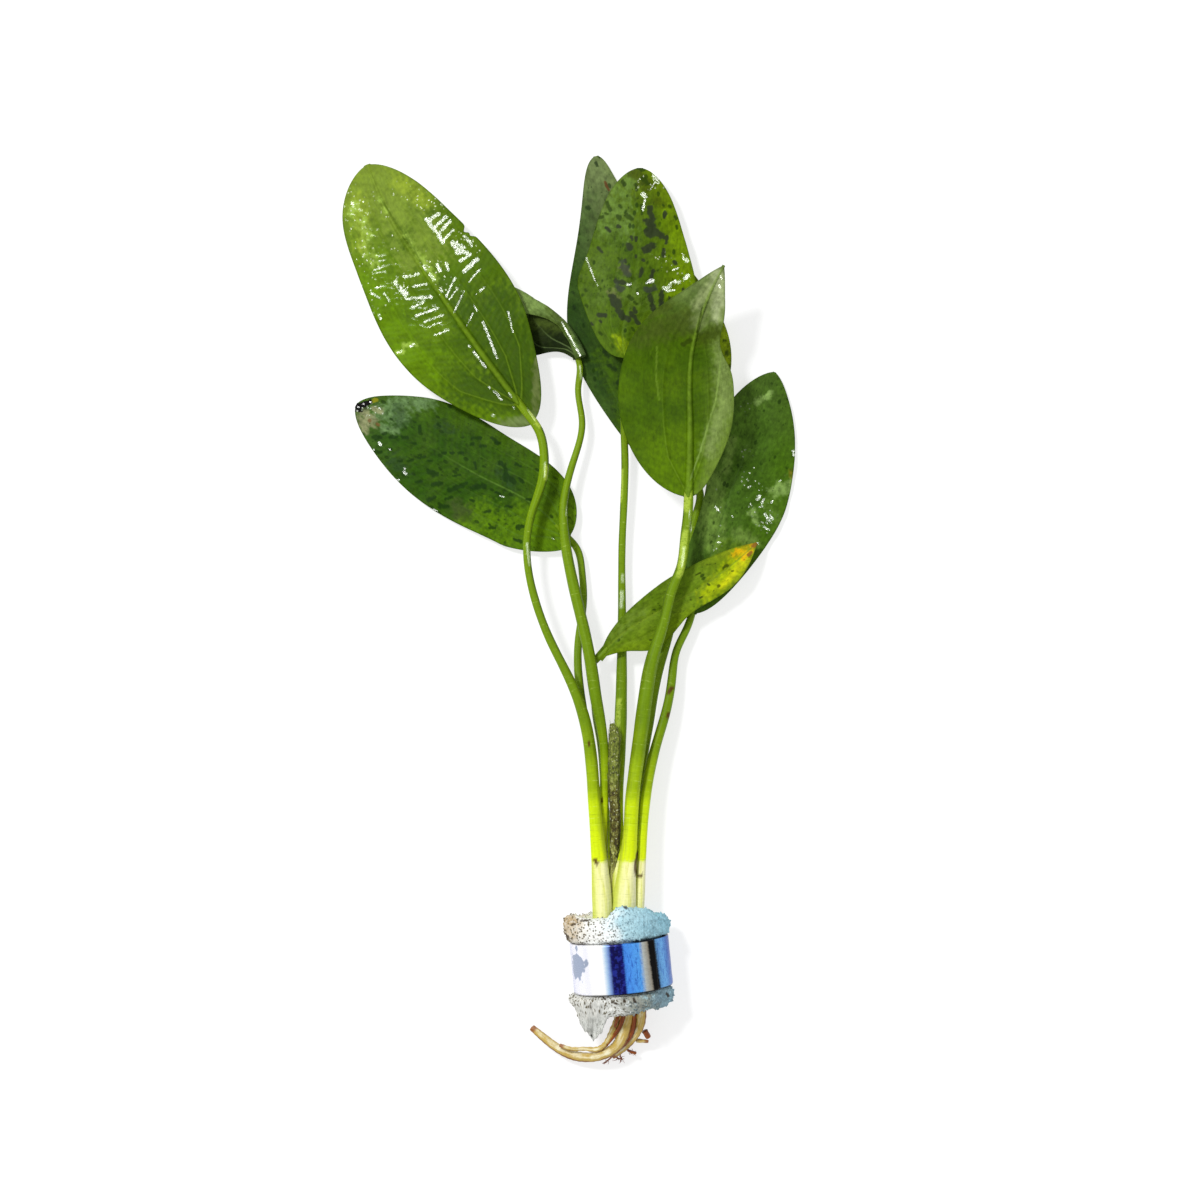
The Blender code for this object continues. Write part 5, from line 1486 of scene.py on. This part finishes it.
def foamMaterial():
    paint = Paint("foam", 0.95)
    place = paint.place("ringPlace")
    x, height, _ = paint.parts(place)
    drift = paint.noise(place, 0.28, 4.0)
    grain = paint.noise(place, 1.9, 4.0, 0.75)
    blots = paint.noise(place, 0.75, 4.0, 0.7)
    side = x + (drift - 0.5) * 9 + height * 0.15
    colour = paint.ramp(side / 24 + 0.5, foamForm["skin"])
    foot = (height * -1).step(5, 7)
    footTone = paint.mix(side.step(-5, 1), (222, 224, 218), (144, 140, 120))
    footTone = paint.mix(side.step(4, 8), footTone, (134, 160, 174))
    colour = paint.mix(foot * blots.step(0.30, 0.50) * 0.8, colour, footTone)
    colour = paint.shadeBy(colour, 0.36 + grain * 1.26)

    # The tan upper left, the whiter torn tail, then pores darkened as painted shade, crumbs, and dark holes
    # painted as shade.
    tanShare = (x * -1 + height * 0.6 + (drift - 0.5) * 12).step(13, 19) * grain.step(0.34, 0.52)
    colour = paint.mix(tanShare * 0.9, colour, (190, 160, 106))
    colour = paint.mix(paint.number("pulled").step(0.4, 0.9) * 0.85, colour,
                       paint.mix(grain.step(0.36, 0.6), (184, 186, 178), (244, 246, 240)))
    # Pores and pinholes: painted shade in the foam's pits and holes, brown at the left and blue-grey at the
    # right.
    poreTone = paint.mix(side.step(-3, 4), (96, 84, 50), (78, 118, 138))
    pinholes = paint.cells(place, 1.45).step(0.42, 0.24) * blots.step(0.36, 0.46)
    pinholes = pinholes * paint.number("pulled").step(0.7, 0.35)
    dots = paint.number("pore").step(0.25, 0.7).maths("MAXIMUM", pinholes)
    colour = paint.mix(dots * side.step(12, -4) * 0.75 + dots * 0.2, colour, poreTone)
    crumbs = paint.cells(place, 2.1).step(0.36, 0.2) * blots.step(0.52, 0.6) * foot * side.step(9, 3)
    colour = paint.mix(crumbs * 0.8, colour, (56, 50, 30))
    # Painted shade in the dark holes and slits.
    colour = paint.mix(paint.number("holeShade") * 0.9, colour, (60, 44, 20))
    return paint.finish(colour, 0.8 + grain * 0.2, paint.bump(grain + blots * 0.6, 0.8, 0.0004))


foam = makeFoam()
dress(foam, foamMaterial(), "foam", "foam_wrap")
print("foam made")


# The metal strip, in mm.
strip = {
    "width": 12.5, "thickness": 0.8, "reach": 12.3,  # reach: from the ring's middle to its face
    "start": 14.0, "lap": 26.0, "gap": 0.3,  # start and lap round the ring in degrees
    "riseFrom": 290.0, "riseTo": 370.0,  # where it climbs over its own start
    "edge": 0.18, "dents": 0.05,  # how far its edges round off, and how uneven it is
    "span": 13,  # the mirrored stripes run over x from -span to span
    # stripes: painted reflections, as colours at places across the strip.
    "stripes": [(-12.6, (200, 206, 240)), (-11.6, (0.8, 0.8, 0.88, 1)), (-8.2, (0.9, 0.9, 0.98, 1)),
                (-7.6, (1, 1, 1, 1)), (-4.6, (1, 1, 1, 1)), (-3.7, (190, 220, 248)),
                (-2.9, (120, 150, 214)), (-2.3, (20, 12, 92)), (-1.0, (8, 2, 68)), (0.5, (18, 12, 100)),
                (1.1, (78, 150, 246)), (4.6, (96, 176, 255)), (5.6, (190, 196, 192)),
                (6.7, (160, 154, 140)), (7.1, (10, 10, 8)), (8.5, (8, 10, 14)), (8.9, (110, 170, 224)),
                (10.4, (112, 176, 236)), (11.6, (44, 100, 190)), (12.6, (40, 84, 160))],
}


def makeBand():
    # The strip: wound once round the foam and lapped over its start, its edges a little rounded.
    degrees = np.linspace(strip["start"], strip["start"] + 360 + strip["lap"], 420)
    lift = (strip["thickness"] + strip["gap"]) * smoothStep(strip["riseFrom"], strip["riseTo"], degrees)
    reach = (strip["reach"] + lift)[:, None]
    turn = np.radians(degrees)[:, None]
    across = np.linspace(-1, 1, 33)[None, :]
    edge = strip["edge"] * smoothStep(0.93, 1.0, np.abs(across))
    onRing = np.stack(np.broadcast_arrays(10 * np.sin(turn), across * 6, 10 * np.cos(turn)), -1)
    height = across * strip["width"] / 2 + 0 * turn
    outer = reach - edge + strip["dents"] * waves(onRing, 7.0, 31, 2)
    inner = reach - strip["thickness"] + edge + 0 * across
    faces = []
    for far, least in ((outer, 0.0), (inner, 0.5)):
        face = setInRing(far * np.sin(turn), height, far * np.cos(turn) * ring["squash"])
        face[..., 2] = np.maximum(face[..., 2], least)
        faces.append(face.reshape(-1, 3))
    flat = np.stack((outer * np.sin(turn), height, outer * np.cos(turn)), -1).reshape(-1, 3)
    rim = np.tile(np.broadcast_to(np.abs(across), outer.shape).ravel(), 2)
    return newPiece("weight_band", np.concatenate(faces), shellFaces(*outer.shape), {"rim": rim},
                    {"ringPlace": np.concatenate((flat, flat))})


def bandMaterial():
    # Bare soft metal. Its colour holds painted reflections: a dark and a blue side of the room, and white
    # light, in upright stripes.
    paint = Paint("metal strip", 0.2, {"Metallic": 0.35, "Specular IOR Level": 0.2})
    place = paint.place("ringPlace")
    x, height, front = paint.parts(place)
    scratch = paint.noise(paint.stretched(place, 0.9, 3.5, 0.9), 1.0, 5.0, 0.7)
    mottle = paint.noise(place, 0.9, 4.0, 0.65)
    cloud = paint.noise(place, 0.3, 2.0)
    slant = x - (height * -1 + 5.5) * 0.04 * x.step(4, 8) + (scratch - 0.5) * 0.9
    span = strip["span"]
    colour = paint.ramp((slant + span) / (2 * span),
                        [((place + span) / (2 * span), stripe) for place, stripe in strip["stripes"]])

    # A dull patch at the left, and scratches and mottling of other colours in each stripe, which vary the
    # painted reflections.
    patch = (((x + 10.7) * 0.6).maths("ABSOLUTE") + ((height - 1.0) * 0.26).maths("ABSOLUTE")
             + (cloud - 0.5) * 3.0).step(1.25, 1.05)
    colour = paint.mix(patch * 0.85, colour, (142, 158, 186))
    fine = paint.noise(place, 2.2, 4.0, 0.75)
    colour = paint.mix(x.step(-3.5, -2) * 0.8, colour, paint.shadeBy(colour, 0.45 + fine * 1.1))
    streaks = paint.noise(paint.stretched(place, 2.2, 0.5, 2.2), 1.0, 5.0, 0.75)
    dark = (x.step(0.5, 1.5) * x.step(5.6, 5.0) + x.step(8.8, 9.2)) * streaks.step(0.50, 0.38) * 0.65
    colour = paint.mix(dark, colour, (36, 70, 176))
    # Blue mottling in the navy stripe: part of the painted reflection.
    reflectionMottle = x.step(-2.4, -2.2) * x.step(0.9, 0.6) * mottle.step(0.48, 0.6)
    colour = paint.mix(reflectionMottle * 0.6, colour, (48, 62, 172))
    # Painted shadow: a near-black line along the strip's edges towards its right and bottom, where it meets
    # the foam.
    edge = paint.number("rim").step(0.95, 0.985) * (x + height * -0.9).step(-5, -1)
    colour = paint.mix(edge, colour, (8, 10, 30))
    around = front.step(-2, -6)
    colour = paint.mix(around * 0.9, colour, paint.mix(scratch, (150, 160, 186), (206, 212, 228)))
    return paint.finish(colour, 0.16 + scratch * 0.22, paint.bump(scratch, 0.06, 0.0002))


dress(makeBand(), bandMaterial(), "metal_strip", "weight_band")
print("band made")
